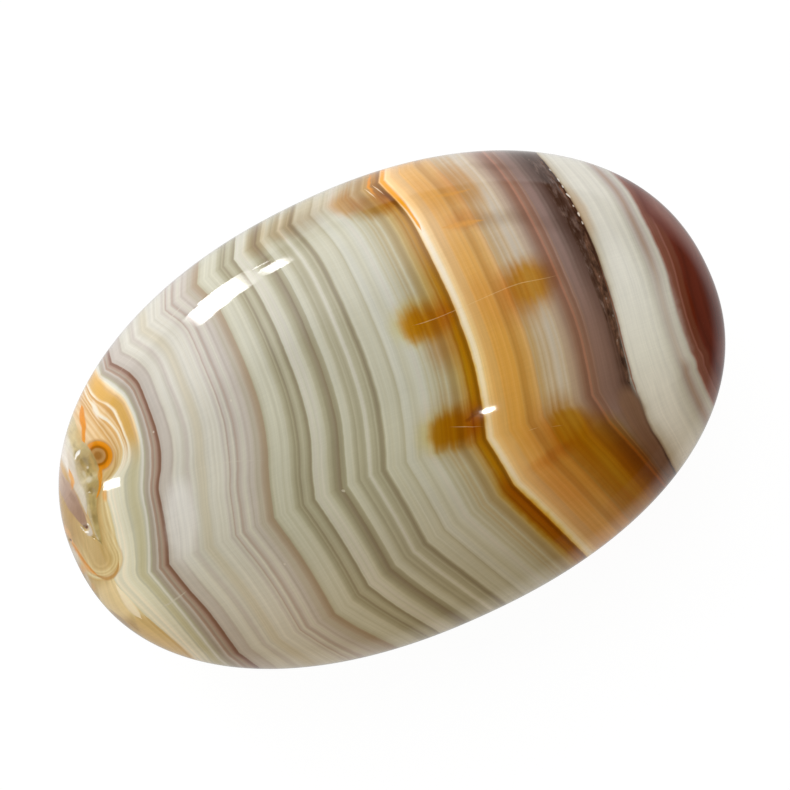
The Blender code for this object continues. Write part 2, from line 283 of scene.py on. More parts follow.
# Named colours of the layers: sRGB hex and what shows it.
PALETTE = {
    "milk": ("dcd9cb", "thin milky lines"),
    "milk_warm": ("efe4cc", "pale lines in the stained wraps"),
    "chalk": ("d3cfc3", "whitest broad layers"),
    "bone": ("ccc7b9", "off-white layers"),
    "parchment": ("c9c1ad", "beige layers"),
    "buttermilk": ("dcd6bd", "yellowish lines round the nucleus"),
    "cream": ("e2ddc8", "pale lines round the nucleus"),
    "straw_pale": ("e4d3a6", "palest honey lines"),
    "straw": ("ddc794", "pale honey lines"),
    "straw_warm": ("eccfa0", "warm straw lines"),
    "wheat": ("cfb27b", "honey lines"),
    "honey_light": ("c5a66d", "light honey layers"),
    "honey": ("b9955a", "honey layers"),
    "willow": ("c8c1a3", "pale layer beside the red-brown band"),
    "willow_dark": ("bfb796", "middle of that layer"),
    "peach": ("d9b179", "iron-stained lines"),
    "peach_light": ("e3c597", "light iron-stained lines"),
    "peach_deep": ("cd9d5d", "deep iron-stained lines"),
    "ochre_sun": ("d4a85e", "sunny ochre patch"),
    "mauve_mist": ("c2b9af", "palest mauve layers"),
    "lilac_grey": ("b7aca1", "mauve grey layers"),
    "taupe": ("aa9e8e", "taupe layers"),
    "drab": ("b5ab9a", "drab beige layers"),
    "tan": ("af9f8b", "tan layers"),
    "tan_dark": ("a49178", "tan brown edge"),
    "tan_grey": ("a9967c", "tan line beside the break"),
    "cream_sage": ("c6c3b0", "cream layers with a green cast"),
    "chalk_sage": ("c9c7b8", "whitest of the green cast layers"),
    "sage_cream": ("c1bda8", "sage cream layers"),
    "sage_pale": ("bdb69c", "pale sage lines"),
    "sage": ("b4ae96", "sage layers"),
    "sage_olive": ("a8a288", "dull olive layers"),
    "olive": ("9b9378", "olive layers"),
    "olive_brown": ("928770", "olive brown lines"),
    "umber_olive": ("8b7d65", "darkest olive lines"),
    "sand_sage": ("b9b196", "sand coloured layers"),
    "khaki_light": ("b6a885", "light khaki lines"),
    "khaki": ("b2a380", "khaki lines"),
    "khaki_dark": ("a69166", "dark khaki layers"),
    "wheat_grey": ("bba574", "dull wheat layers"),
    "ochre_pale": ("b99a5d", "pale ochre layers"),
    "ochre": ("b48d4c", "ochre layers"),
    "amber": ("aa7b36", "amber layers"),
    "amber_light": ("b6873b", "bright amber lines"),
    "umber_amber": ("956a2e", "brown amber layer"),
    "cream_bright": ("f5e6ce", "brightest cream layer"),
    "cream_warm": ("f1deba", "warm cream layers"),
    "apricot_light": ("e9c894", "light apricot lines"),
    "apricot_pale": ("d9b07a", "pale apricot layers"),
    "apricot": ("dcac6a", "apricot layers"),
    "apricot_deep": ("d9a761", "deep apricot layers"),
    "apricot_dull": ("d1a567", "dull apricot layers"),
    "caramel_light": ("cfa468", "light caramel layers"),
    "caramel": ("c29457", "caramel layer"),
    "caramel_rose": ("cca472", "rosy caramel lines"),
    "caramel_grey": ("c0a276", "greyed caramel lines"),
    "sand": ("c3aa87", "sand layers"),
    "rose_sand": ("c6b49b", "rose sand layers"),
    "rose_pale": ("cabdab", "palest rose layers"),
    "rose_taupe_light": ("b8a38f", "light rose taupe layers"),
    "rose_taupe": ("ad9583", "rose taupe layers"),
    "old_rose": ("b3a196", "dusky rose lines"),
    "mauve_brown": ("a08676", "mauve brown layers"),
    "rose_brown": ("977866", "rose brown layers"),
    "rosewood": ("8c6857", "rosewood layers"),
    "rosewood_dark": ("80614f", "darkest line of the red-brown band"),
    "brick_pink": ("a97b66", "pale brick line"),
    "plum_pale": ("9b7e72", "pale plum lines"),
    "plum_grey": ("8b736b", "grey plum layers"),
    "plum_mid": ("7a655d", "middle plum layers"),
    "plum": ("68534b", "plum layers"),
    "plum_dark": ("5e4840", "dark plum layers"),
    "umber": ("50392d", "umber layers"),
    "umber_dark": ("41291e", "dark umber lines"),
    "ivory": ("dad6c9", "ivory layer"),
    "rust": ("8a5648", "rust layer"),
    "rust_dark": ("82503f", "dark rust layer"),
    "rust_deep": ("753f2c", "deep rust layer"),
    "rust_pale": ("a5806f", "pale edge of the rust"),
    "oxblood": ("6a2814", "oxblood layer"),
    "oxblood_deep": ("5c210d", "deepest red layer"),
    "bark": ("9a6a30", "dark half of the eye"),
    "bark_light": ("b4874f", "light half of the eye"),
    "bark_dark": ("a3620f", "dark ring of the eye"),
    "orange_deep": ("cf7a09", "inner side of the orange ring"),
    "orange": ("d88a20", "orange ring of the eye"),
    "pocket_deep": ("a78f5b", "deep honey glass of the pocket"),
    "pocket_mid": ("b5a06b", "middle of the pocket"),
    "pocket_light": ("cbb98d", "light part of the pocket"),
    "pocket_pale": ("c6b282", "upper part of the pocket"),
    "pocket_honey": ("d9c292", "top of the pocket"),
    "pocket_olive": ("ad9459", "tip of the pocket"),
    "lens_low": ("b09a88", "tip of the mauve brown lens"),
    "lens_deep": ("a07d63", "deep part of the lens"),
    "lens_mid": ("ab8b76", "middle of the lens"),
    "lens_high": ("b39683", "upper part of the lens"),
    "lens_top": ("c9ac94", "top of the lens"),
    "lens_end": ("dccbbc", "end of the lens"),
    "break_dark": ("3a261c", "cracks in the open break"),
    "break_umber": ("5a4030", "umber splinters of the break"),
    "break_brown": ("735140", "brown splinters of the break"),
    "break_tawny": ("876553", "tawny splinters of the break"),
    "break_mauve": ("866e61", "mauve grey splinters of the break"),
    "break_grey": ("9f8a7e", "palest splinters of the break"),
    # Filters of painted shade, laid over the side away from the light
    "shade_tint_none": ("ffffff", "no yellowing"),
    "shade_tint_faint": ("fffef7", "first yellowing"),
    "filter_light": ("fffcf0", "light yellowing"),
    "shade_tint_mid": ("fff6e6", "middle yellowing"),
    "shade_tint_deep": ("fff2dd", "deep yellowing"),
    "shade_tint_full": ("ffefd4", "full yellowing"),
}

# Colours of the marks that cross the layers: sRGB hex and what shows it. The first nine are
# filters, through which the layers still show.
TINTS = {
    "amber_seep": ("e6a218", "iron stain soaked into the layers"),
    "deep_seep": ("d9991a", "the same stain where it is strongest"),
    "honey_seep": ("e8cb9e", "weak stain in the caramel layers"),
    "gold_seep": ("f2df38", "golden stain beside the cream layer"),
    "tawny_seep": ("e7b351", "golden stain in the caramel layers"),
    "yellow_seep": ("fff200", "yellow where the stains are deepest"),
    "brown_seep": ("dca81c", "golden brown stain"),
    "sun_seep": ("fff1ba", "faint golden stain in the apricot layers"),
    "smoke": ("b9a48e", "faint brown shadow"),
    "clear_ivory": ("eeebe2", "brighter part of the ivory layer"),
    "cream_glow": ("ffca82", "warm glow in the layers beside the cream one"),
    "plum_light": ("8d6c5e", "lighter stretch of the plum layers"),
    "milk_haze": ("e2deda", "milky patch in the mauve layers"),
    "heal_line": ("e4c48c", "pale healed crack"),
    "heal_faint": ("cfc8b8", "faint healed crack"),
    "vivid_orange": ("e99a00", "orange flush at the top of the cream layer"),
    "ochre_streak": ("d99a45", "ochre streak across the caramel layers"),
    "cream_streak": ("f6e3c0", "cream line in the orange flush"),
    "shell_mauve": ("713a2f", "mauve shell round the red core"),
    "shell_pale": ("8c5b50", "pale rim of that shell"),
    "red_thread": ("95604f", "pale thread in the red core"),
    # Painted highlights: beads of light on the open break
    "painted_break_glints": ("f2eee6", "beads of light on the open break"),
    "break_rust": ("8f5637", "rusty edge of the break"),
    "break_closed": ("8b6a54", "brown layer where the break has closed"),
    "fleck_mauve": ("8b6a55", "mauve brown flecks"),
    "speck_pale": ("e3ddcb", "pale specks"),
    "orange_vein": ("dd8a06", "orange vein above the eye"),
    "orange_tail": ("d98c22", "orange tail under the eye"),
    "orange_faint": ("e5aa62", "pale orange blotches"),
    "strip_pale": ("d5ccbd", "pale strip beside the glassy pocket"),
    "rim_pale": ("eae1d5", "pale rim of the narrow end"),
    "glass_light": ("dfd8c4", "light in the glassy pocket"),
    "glass_dark": ("8d7a4b", "dark depth of the glassy pocket"),
    "glass_honey": ("cba667", "honey edge of the glassy pocket"),
    # Painted highlight where a broken facet catches the light
    "glint": ("f7f2e8", "broken facet that catches the light"),
    "lens_dark": ("96755e", "dark of the lens"),
    "lens_tan": ("bb9877", "tan edge of the lens"),
    "pit_dark": ("7a4a2f", "dark of a small pit"),
    "pit_grey": ("cfc6be", "grey broken bottom of a pit"),
    "honey_edge": ("c39a55", "honey border under the hook"),
    "honey_wash": ("eed5a4", "light honey under the hook"),
    "honey_deep": ("dab97c", "honey zone by the rim"),
    "pale_lens": ("fdedcf", "pale lens under the hook"),
    "rim_mauve": ("a48871", "mauve brown rim"),
    "hook_amber": ("bb8843", "amber line round the hook"),
    "cream_lens": ("eae0cb", "cream lens above the eye"),
    "sun_ochre": ("dcaa50", "sunny ochre above the eye"),
}

# Soft ovals: place, half sizes, turn in degrees, softness of the edge and strength.
# Stains, on the band and fold plane.
STAINS = {
    "amber_seep": [
        (5.8, 6.9, 1.2, 1.6, 0, 0.55, 0.9), (7.4, 6.6, 2.2, 1.7, 0, 0.6, 0.9),
        (7.2, 7.6, 2.4, 1.6, 0, 0.8, 0.35), (7.8, 4.2, 1.5, 2.2, 0, 0.8, 0.5),
        (5.9, 20.4, 1.5, 1.1, -12, 0.6, 0.7), (7.0, 21.6, 3.0, 1.3, 0, 0.6, 0.35),
        (25.9, 11.5, 0.6, 2.6, 0, 0.6, 0.3), (23.4, -18.0, 2.5, 2.5, 0, 0.7, 0.2),
    ],
    "gold_seep": [(9.7, -2.5, 0.64, 13.5, 0, 0.45, 0.95), (9.6, -17.0, 1.1, 6.0, 0, 0.5, 0.9),
                  (8.6, 5.0, 1.0, 6.0, 0, 0.8, 0.3)],
    "tawny_seep": [
        (18.0, 6.4, 2.7, 2.3, 8, 0.5, 1.0), (14.9, 6.8, 2.7, 2.1, 0, 0.7, 0.2),
        (17.0, 4.4, 2.4, 1.6, 0, 0.8, 0.35), (14.8, -12.8, 2.0, 1.0, 0, 0.7, 0.5),
        (14.3, -15.5, 1.6, 2.6, 0, 0.6, 0.3), (16.7, 17.6, 1.6, 2.3, 0, 0.6, 0.6),
        (15.3, 14.4, 1.8, 0.9, -10, 0.7, 0.5),
    ],
    "brown_seep": [
        (8.4, 19.2, 2.2, 1.2, 0, 0.5, 0.75), (17.6, -10.2, 2.1, 5.1, 0, 0.4, 0.95),
        (18.1, -16.8, 2.2, 4.6, 0, 0.5, 0.8), (17.8, -20.2, 2.6, 1.6, 0, 0.6, 0.5),
        (15.6, -9.3, 1.9, 4.2, 0, 0.6, 0.4),
    ],
    "sun_seep": [(13.5, -2.0, 2.6, 11.0, 0, 0.7, 0.85)],
    "yellow_seep": [
        (6.7, 7.0, 2.5, 2.0, 0, 0.6, 0.6), (7.0, -4.1, 2.8, 2.0, 0, 0.6, 0.65),
        (17.6, -14.5, 3.0, 6.0, 0, 0.6, 0.6), (19.8, -16.5, 2.6, 4.5, 0, 0.6, 0.7),
    ],
    "honey_seep": [
        (12.4, -18.0, 1.2, 5.0, 0, 0.7, 0.35), (13.6, 17.6, 1.6, 2.0, 0, 0.6, 0.3),
        (15.2, -16.5, 1.9, 4.0, 0, 0.6, 0.3), (20.4, -3.0, 1.9, 8.0, 0, 0.7, 0.3),
        (20.6, -18.0, 1.6, 4.0, 0, 0.7, 0.4), (-4.2, 21.2, 1.4, 1.3, 0, 0.6, 0.6),
        (-1.7, 21.2, 0.9, 1.2, 0, 0.6, 0.6), (-0.3, 21.2, 0.6, 1.3, 0, 0.6, 0.6),
        (1.6, 21.6, 2.0, 1.2, 0, 0.6, 0.4),
    ],
    "deep_seep": [
        (6.0, -4.1, 1.2, 1.6, 0, 0.5, 0.9), (7.6, -4.1, 2.2, 1.9, 0, 0.55, 1.0),
        (7.4, -4.0, 2.9, 2.8, 0, 0.8, 0.4), (18.3, -15.8, 2.0, 5.0, 0, 0.5, 0.3),
        (20.9, -17.6, 1.9, 2.4, 0, 0.6, 0.5), (20.0, -13.0, 1.0, 4.5, 0, 0.7, 0.45),
        (9.6, -16.5, 0.8, 4.5, 0, 0.5, 0.7),
    ],
}
# Faint brown shadows, on the band and fold plane. Like stains they are filters, but they don't creep.
SHADOWS = {
    "smoke": [
        (18.2, 13.3, 2.6, 0.7, -10, 0.8, 0.35), (22.4, 11.2, 2.8, 0.7, -27, 0.8, 0.2),
        (24.2, 11.5, 0.9, 3.8, 0, 0.7, 0.3), (20.8, 18.2, 1.6, 0.35, -25, 0.7, 0.3),
        (23.6, -17.8, 3.0, 2.2, 0, 0.6, 0.2), (1.2, 20.4, 2.6, 1.0, 0, 0.7, 0.4),
        (22.6, 17.3, 3.2, 1.3, -20, 0.7, 0.35), (9.6, 20.4, 0.35, 1.0, 0, 0.5, 0.6),
        (10.0, 19.0, 0.25, 1.8, 0, 0.5, 0.6),
    ],
}
# Patches laid over the layers, on the band and fold plane.
LAYER_PATCHES = {
    "clear_ivory": [(27.3, -5.5, 1.9, 13.5, 0, 0.3, 0.85), (30.2, -2.5, 1.0, 6.0, 0, 0.6, 0.4)],
    "milk_haze": [(-20.4, -1.5, 1.5, 5.0, 0, 0.4, 0.8)],
    "cream_glow": [(11.5, -8.5, 0.7, 8.0, 0, 0.6, 0.3), (11.3, 19.8, 0.6, 4.0, 0, 0.6, 0.4)],
    "plum_light": [(22.9, -4.5, 1.5, 9.0, 0, 0.7, 0.65)],
    "break_closed": [(24.15, -14.5, 1.35, 6.6, 0, 0.3, 0.8)],
    "fleck_mauve": [(9.6, -3.2, 0.5, 0.35, 20, 0.5, 0.7), (8.9, -3.6, 0.5, 0.2, 10, 0.5, 0.6)],
    "vivid_orange": [(9.1, 21.2, 0.2, 0.9, 0, 0.5, 0.7)],
    "speck_pale": [
        (-13.0, -9.0, 0.12, 0.08, 20, 0.4, 0.5), (-4.3, -6.3, 0.1, 0.08, 0, 0.4, 0.5),
        (-13.9, 8.0, 0.1, 0.12, 0, 0.4, 0.4), (-22.4, 10.4, 0.08, 0.1, 0, 0.4, 0.5),
    ],
    # Painted highlights along the open break
    "painted_break_glints": [
        (25.5, 10.3, 0.07, 0.16, 0, 0.4, 0.8), (25.47, 11.3, 0.09, 0.2, 0, 0.4, 0.9),
        (25.52, 12.2, 0.06, 0.12, 0, 0.4, 0.8), (25.5, 13.4, 0.08, 0.22, 0, 0.4, 0.9),
        (25.48, 14.4, 0.06, 0.14, 0, 0.4, 0.8), (25.5, 15.2, 0.07, 0.2, 0, 0.4, 0.7),
        (25.5, 16.4, 0.05, 0.2, 0, 0.4, 0.6), (25.0, 4.6, 0.09, 0.12, 0, 0.4, 0.8),
        (24.9, 2.2, 0.1, 0.14, 0, 0.4, 0.8), (25.1, 0.4, 0.08, 0.16, 0, 0.4, 0.7),
        (24.9, -2.1, 0.09, 0.12, 0, 0.4, 0.7),
    ],
}
# Lines along the bands or across them, on the band and fold plane: place along, place across and
# half width at each point, then softness and strength. The first word says which way they run.
LAYER_LINES = [
    ("across", "heal_line", [(5.6, 6.9, 0.0), (7.0, 6.75, 0.045), (10.0, 6.7, 0.03), (14.0, 6.75, 0.04),
                             (17.0, 6.7, 0.045), (19.5, 6.3, 0.03), (21.4, 6.05, 0.0)], 0.5, 0.35),
    ("across", "heal_line", [(6.6, -3.75, 0.0), (8.2, -4.2, 0.05), (10.4, -4.85, 0.0)], 0.5, 0.35),
    ("across", "heal_line", [(13.8, -7.15, 0.0), (14.5, -7.3, 0.06), (15.2, -7.45, 0.0)], 0.5, 0.35),
    ("across", "heal_line", [(15.8, -8.1, 0.0), (16.5, -8.6, 0.05), (17.2, -9.1, 0.0)], 0.5, 0.3),
    ("across", "heal_faint", [(-22.3, 5.1, 0.0), (-19.5, 3.8, 0.06), (-15.0, 2.0, 0.06),
                              (-11.0, 0.0, 0.0)], 0.6, 0.3),
    ("across", "ochre_streak", [(12.4, 14.6, 0.0), (13.4, 14.3, 0.2), (15.0, 14.0, 0.26),
                                (16.2, 13.8, 0.1), (17.0, 13.6, 0.0)], 0.8, 0.6),
    ("across", "heal_faint", [(-23.4, 19.2, 0.0), (-20.0, 19.5, 0.06), (-16.0, 19.8, 0.07),
                              (-12.0, 20.3, 0.0)], 0.6, 0.45),
    ("across", "ochre_streak", [(13.4, 17.6, 0.0), (14.6, 17.3, 0.16), (16.4, 17.0, 0.1),
                                (17.6, 16.9, 0.0)], 0.9, 0.4),
    ("along", "vivid_orange", [(14.9, 10.66, 0.0), (15.7, 10.64, 0.14), (17.0, 10.6, 0.16),
                               (18.4, 10.6, 0.24), (20.0, 10.62, 0.28), (21.6, 10.64, 0.28),
                               (22.6, 10.68, 0.22), (23.6, 10.7, 0.0)], 0.6, 0.95),
    ("along", "cream_streak", [(19.6, 8.9, 0.0), (20.4, 8.8, 0.06), (21.2, 8.6, 0.0)], 0.5, 0.6),
    ("along", "cream_streak", [(19.6, 9.8, 0.0), (20.4, 9.7, 0.06), (21.2, 9.5, 0.0)], 0.5, 0.6),
    ("along", "break_rust", [(-13.0, 25.4, 0.0), (-8.0, 25.42, 0.07), (0.0, 25.42, 0.08),
                             (8.0, 25.42, 0.0)], 0.5, 0.7),
    ("along", "red_thread", [(-13.0, 31.85, 0.0), (-8.0, 31.85, 0.05), (3.0, 31.85, 0.05),
                             (9.0, 31.85, 0.0)], 0.6, 0.55),
]

# The narrow end, in plan: colours of the glassy pocket and of the lens beside it by Y, then patches
# and lines, given as above by X and Y.
POCKET_LOG = [
    (0.2, "pocket_olive"), (1.0, "pocket_mid"), (2.0, "pocket_mid"), (3.0, "pocket_deep"),
    (4.0, "pocket_mid"), (4.8, "pocket_mid"), (5.5, "pocket_deep"), (6.1, "pocket_mid"),
    (6.6, "pocket_light"), (7.1, "pocket_mid"), (7.7, "pocket_deep"), (8.6, "pocket_deep"),
    (9.4, "pocket_mid"), (10.2, "pocket_pale"), (11.5, "pocket_pale"), (12.6, "pocket_light"),
    (13.6, "pocket_honey"),
]
LENS_LOG = [(2.0, "lens_low"), (3.0, "lens_deep"), (4.0, "lens_deep"), (5.5, "lens_mid"),
            (6.5, "lens_high"), (8.4, "lens_top"), (10.0, "lens_end")]
END_PATCHES = [
    ("sun_ochre", [(-25.35, 14.4, 0.55, 1.5, -8, 0.6, 0.8), (-24.8, 13.0, 0.4, 0.8, 0, 0.7, 0.5)]),
    ("cream_lens", [(-26.58, 12.55, 0.22, 0.75, -8, 0.6, 0.9), (-26.2, 11.5, 0.15, 0.6, 35, 0.6, 0.8)]),
    ("orange_tail", [(-29.05, 6.35, 0.22, 0.35, -30, 0.5, 0.9)]),
    ("orange_faint", [(-29.45, 4.4, 0.25, 0.55, -20, 0.6, 0.8), (-31.65, 7.45, 0.16, 0.6, 0, 0.5, 0.9),
                      (-34.4, 2.9, 0.2, 0.8, 10, 0.7, 0.7), (-34.55, -1.3, 0.4, 0.5, 30, 0.7, 0.7),
                      (-34.4, -3.4, 0.18, 0.4, 0, 0.7, 0.5)]),
    ("glass_dark", [(-29.7, 8.35, 0.28, 0.5, 10, 0.6, 0.6), (-29.85, 7.3, 0.14, 0.22, 0, 0.6, 0.7),
                    (-29.75, 6.85, 0.12, 0.2, 0, 0.6, 0.6), (-30.3, 5.25, 0.35, 0.25, 30, 0.6, 0.45),
                    (-30.7, 4.25, 0.16, 0.5, -20, 0.6, 0.45), (-30.2, 8.9, 0.3, 0.12, 40, 0.6, 0.6),
                    (-31.35, 2.7, 0.2, 0.6, 0, 0.6, 0.4), (-30.1, 10.2, 0.1, 0.25, 0, 0.6, 0.3)]),
    ("glass_light", [(-29.75, 7.65, 0.12, 0.14, 0, 0.5, 0.5), (-30.15, 6.5, 0.3, 0.25, 30, 0.6, 0.6),
                     (-30.35, 7.2, 0.15, 0.35, 0, 0.6, 0.35), (-30.6, 10.6, 0.2, 0.7, -25, 0.7, 0.7),
                     (-31.3, 5.9, 0.25, 0.5, 0, 0.6, 0.5)]),
    ("glass_honey", [(-29.1, 7.4, 0.2, 1.3, 0, 0.7, 0.5), (-29.2, 10.9, 0.25, 0.8, -20, 0.7, 0.6)]),
    # Painted highlights on broken facets of the pocket
    ("glint", [(-30.05, 9.35, 0.36, 0.16, 33, 0.35, 1.0), (-30.4, 9.05, 0.2, 0.07, 40, 0.4, 0.8)]),
    ("lens_dark", [(-32.4, 5.6, 0.24, 0.6, 0, 0.7, 0.6), (-32.45, 3.9, 0.2, 0.8, -8, 0.7, 0.6),
                   (-32.5, 7.6, 0.12, 0.6, 0, 0.7, 0.3)]),
    ("lens_tan", [(-32.1, 6.3, 0.12, 0.5, 0, 0.7, 0.6), (-31.9, 3.6, 0.08, 0.9, 0, 0.6, 0.7)]),
    ("pit_grey", [(-32.35, 1.65, 0.3, 0.3, 0, 0.5, 0.8), (-32.15, 2.0, 0.14, 0.4, 0, 0.5, 0.6)]),
    ("pit_dark", [(-32.42, 2.3, 0.13, 0.14, 30, 0.4, 0.9), (-34.4, 1.8, 0.08, 0.14, 0, 0.5, 0.9)]),
    # Painted highlights on the edges of the pit
    ("glint", [(-32.22, 2.5, 0.07, 0.12, 0, 0.4, 1.0), (-32.6, 1.85, 0.22, 0.1, -35, 0.5, 0.9),
               (-32.85, 2.35, 0.06, 0.3, 12, 0.5, 0.7)]),
    ("rim_mauve", [(-33.35, -7.4, 0.2, 1.4, 24, 0.6, 0.6)]),
    ("rim_pale", [(-34.65, 0.3, 0.25, 1.0, 0, 0.7, 0.7), (-34.6, -2.6, 0.2, 0.9, -10, 0.7, 0.5)]),
]
END_LINES = [
    ("across", "honey_wash", [(-34.6, -5.2, 0.0), (-33.9, -5.4, 1.8), (-33.0, -5.6, 2.1),
                              (-32.2, -5.6, 1.8), (-31.8, -5.6, 0.0)], 0.4, 0.85),
    ("along", "honey_deep", [(-7.2, -31.7, 0.0), (-8.2, -31.5, 0.45), (-9.5, -31.25, 0.8),
                             (-11.0, -30.65, 1.0), (-12.5, -29.9, 0.95), (-14.0, -29.0, 0.7),
                             (-15.6, -28.2, 0.3), (-16.4, -27.8, 0.0)], 0.3, 0.8),
    ("along", "strip_pale", [(3.2, -31.9, 0.0), (4.2, -31.7, 0.2), (5.5, -31.5, 0.36), (7.0, -31.5, 0.42),
                             (8.0, -31.4, 0.45), (9.0, -31.25, 0.6), (10.0, -31.1, 0.7), (11.0, -31.0, 0.6),
                             (12.2, -30.5, 0.35), (13.2, -29.8, 0.0)], 0.4, 0.85),
    ("along", "rim_pale", [(7.6, -31.8, 0.0), (9.0, -31.5, 0.2), (10.2, -31.3, 0.35), (11.4, -30.85, 0.3),
                           (12.6, -30.3, 0.0)], 0.6, 0.8),
    ("along", "orange_vein", [(9.9, -29.05, 0.0), (10.4, -28.93, 0.2), (11.0, -28.65, 0.22),
                              (11.6, -28.35, 0.25), (12.2, -28.2, 0.3), (12.8, -27.98, 0.28),
                              (13.3, -27.75, 0.16), (13.7, -27.6, 0.0)], 0.4, 1.0),
    ("along", "orange_tail", [(7.3, -28.45, 0.0), (6.7, -28.85, 0.24), (6.2, -29.05, 0.22),
                              (5.7, -29.3, 0.15), (5.2, -29.6, 0.14), (4.7, -30.05, 0.12),
                              (4.4, -30.4, 0.0)], 0.5, 0.95),
    ("across", "hook_amber", [(-33.9, -1.9, 0.0), (-33.4, -2.65, 0.16), (-32.9, -3.1, 0.2),
                              (-32.3, -3.25, 0.22), (-31.7, -3.05, 0.2), (-31.2, -2.55, 0.14),
                              (-30.85, -1.9, 0.0)], 0.7, 0.85),
    ("along", "orange_faint", [(-2.6, -33.45, 0.0), (-2.0, -33.8, 0.14), (-1.0, -34.1, 0.16),
                               (0.0, -34.22, 0.16), (1.2, -34.3, 0.12), (2.6, -34.35, 0.0)], 0.6, 0.9),
    ("along", "orange_tail", [(-2.7, -33.3, 0.0), (-2.0, -33.7, 0.09), (-1.0, -34.0, 0.1),
                              (0.0, -34.2, 0.12), (1.0, -34.35, 0.1), (2.0, -34.4, 0.0)], 0.6, 0.85),
    ("along", "orange_tail", [(8.6, -31.5, 0.0), (7.8, -31.58, 0.12), (7.0, -31.75, 0.18),
                              (6.5, -32.0, 0.12), (6.2, -32.2, 0.0)], 0.6, 0.8),
    ("along", "pale_lens", [(-3.8, -32.25, 0.0), (-5.0, -32.1, 0.2), (-6.5, -31.85, 0.38),
                            (-7.6, -31.6, 0.3), (-8.5, -31.3, 0.0)], 0.4, 0.9),
    ("along", "honey_edge", [(-7.8, -31.1, 0.0), (-9.2, -30.55, 0.12), (-12.4, -29.15, 0.12),
                             (-15.0, -28.2, 0.1), (-16.0, -27.8, 0.0)], 0.6, 0.6),
    ("along", "glass_dark", [(1.5, -32.5, 0.0), (1.1, -32.2, 0.07), (0.6, -31.9, 0.07), (0.2, -31.7, 0.0)],
     0.5, 0.6),
    ("across", "heal_faint", [(-29.2, -8.1, 0.0), (-28.4, -8.15, 0.09), (-27.4, -8.0, 0.09),
                              (-26.6, -7.85, 0.06), (-26.0, -7.7, 0.0)], 0.6, 0.5),
]

# How the layers dip: how far their traces have shifted at the flat, below the widest section
DIP = (-5.0, 3.0, 0.0)
LEAN = 1 / 1200  # how far the layers lean out towards the crown, as a share of X and Y for each millimetre
# Wavering of the layers: noise per millimetre, and reach in millimetres
WAVERING = ((0.22, 0.1), (1.1, 0.08))
NOISE_MIDDLE = (0.5, 0.5, 0.5)
# How the marks' edges are shaken: noise per millimetre, and how far across and along the layers,
# and in plan
RAGGED_GRAIN = 0.9
STRATA_RAGGED = (0.5, 0.7, 0.0)
PLAN_RAGGED = (0.3, 0.3, 0.0)
# Shells beyond the red core's edge: colour, and where it begins and is full
CORE_SHELLS = (("shell_mauve", -0.25, 0.3), ("shell_pale", 0.3, 1.3))
# Finest lines and clouds: noise per millimetre across and along the layers, its detail, contrast,
# and whether the setting for fine striping changes it
GROWTH_LINES = (
    ((3.2, 0.05), 3.0, 0.06, True),
    ((9.0, 0.12), 2.0, 0.03, True),
    ((0.5, 7.0), 2.0, 0.02, True),
    ((0.15, 0.15), 3.0, 0.035, False),
)
# Painted shade: warmer and a little darker towards the side away from the light, by Y
SIDE_SHADE_TINT = [(-20.0, "shade_tint_full"), (-16.0, "shade_tint_deep"), (-12.0, "shade_tint_mid"),
               (-6.0, "filter_light"), (0.0, "shade_tint_faint"), (11.0, "shade_tint_none")]
HOOK_SPINE = (-32.45, -1.2)  # middle of the hook's half rings
HOOK_TOP = 2.2  # where its straight limbs have faded out, by Y
HOOK_EDGE = (1.9, 2.3)  # how far out from its spine it begins to fade and has gone
EYE = (-28.35, 8.3)  # middle of the eye
EYE_EDGE = (1.6, 1.85)  # how far out from there it begins to fade and has gone
LENS_SOFTNESS = 0.2
GLASS_SOFTNESS = 0.1
GLASS_RIM = 0.35  # how much of the pocket's width is its light outer side
GLASS_RIM_SHARE = 0.4  # how light that is at the edge
GLASS_SWIRL = 0.08  # how strongly the pocket is clouded
GLASS_CLOUD = 1.6  # that noise per millimetre
END_OUT, END_IN = 0.1, 0.3  # over what length the ends of the lens and the pocket fade
# The open break along the dark layer: fold, band and half width
BREAK = [(-8.5, 25.05, 0.0), (-6.5, 25.0, 0.15), (-4.0, 25.0, 0.25), (0.0, 24.92, 0.36), (4.0, 24.9, 0.38),
         (7.5, 25.0, 0.26), (11.0, 25.2, 0.12), (15.0, 25.22, 0.12), (18.0, 25.25, 0.1), (20.0, 25.3, 0.0)]
# The splintery dark layer beside it, and what that shows
SPLINTERS = [(-2.0, 24.3, 0.0), (3.0, 24.3, 0.2), (8.0, 24.5, 0.4), (13.0, 24.55, 0.6), (19.0, 24.5, 0.55),
             (23.0, 24.4, 0.0)]
SPLINTER_LOG = [(0.36, "umber_dark"), (0.5, "umber"), (0.58, "plum"), (0.68, "break_mauve")]
# What the break shows: noise and colour, and that noise per millimetre across and along the layers
BREAK_LOG = [(0.38, "break_dark"), (0.5, "break_umber"), (0.6, "break_brown"), (0.68, "break_tawny"),
             (0.8, "break_grey")]
FIBRE_STRETCH = (2.6, 0.8, 0.0)
CREEP = 1.6  # how unevenly stains creep along the layers, in millimetres
CREEP_GRAIN = 1.6  # that noise per millimetre across the layers
# Painted light: ovals in plan where the colour is made lighter, standing for light let through by the thin
# rim, and how much lighter
PAINTED_LIGHT_OVALS = [(-17.5, -14.5, 14.0, 5.0, -23, 0.7, 1.0), (-31.0, -7.5, 3.5, 6.5, 10, 0.7, 1.0)]
PAINTED_LIGHT_GAIN = 1.14
BREAK_REACH = 0.5  # how far from its run the surface is rough
LINE_MARGIN = 0.5  # a drawn line's width stays nothing for this far past its ends
THINNEST_LINE = 0.0001  # what stands for no width
RAMP_STOPS = 30  # entries of a log on one colour ramp, which holds 32 at most

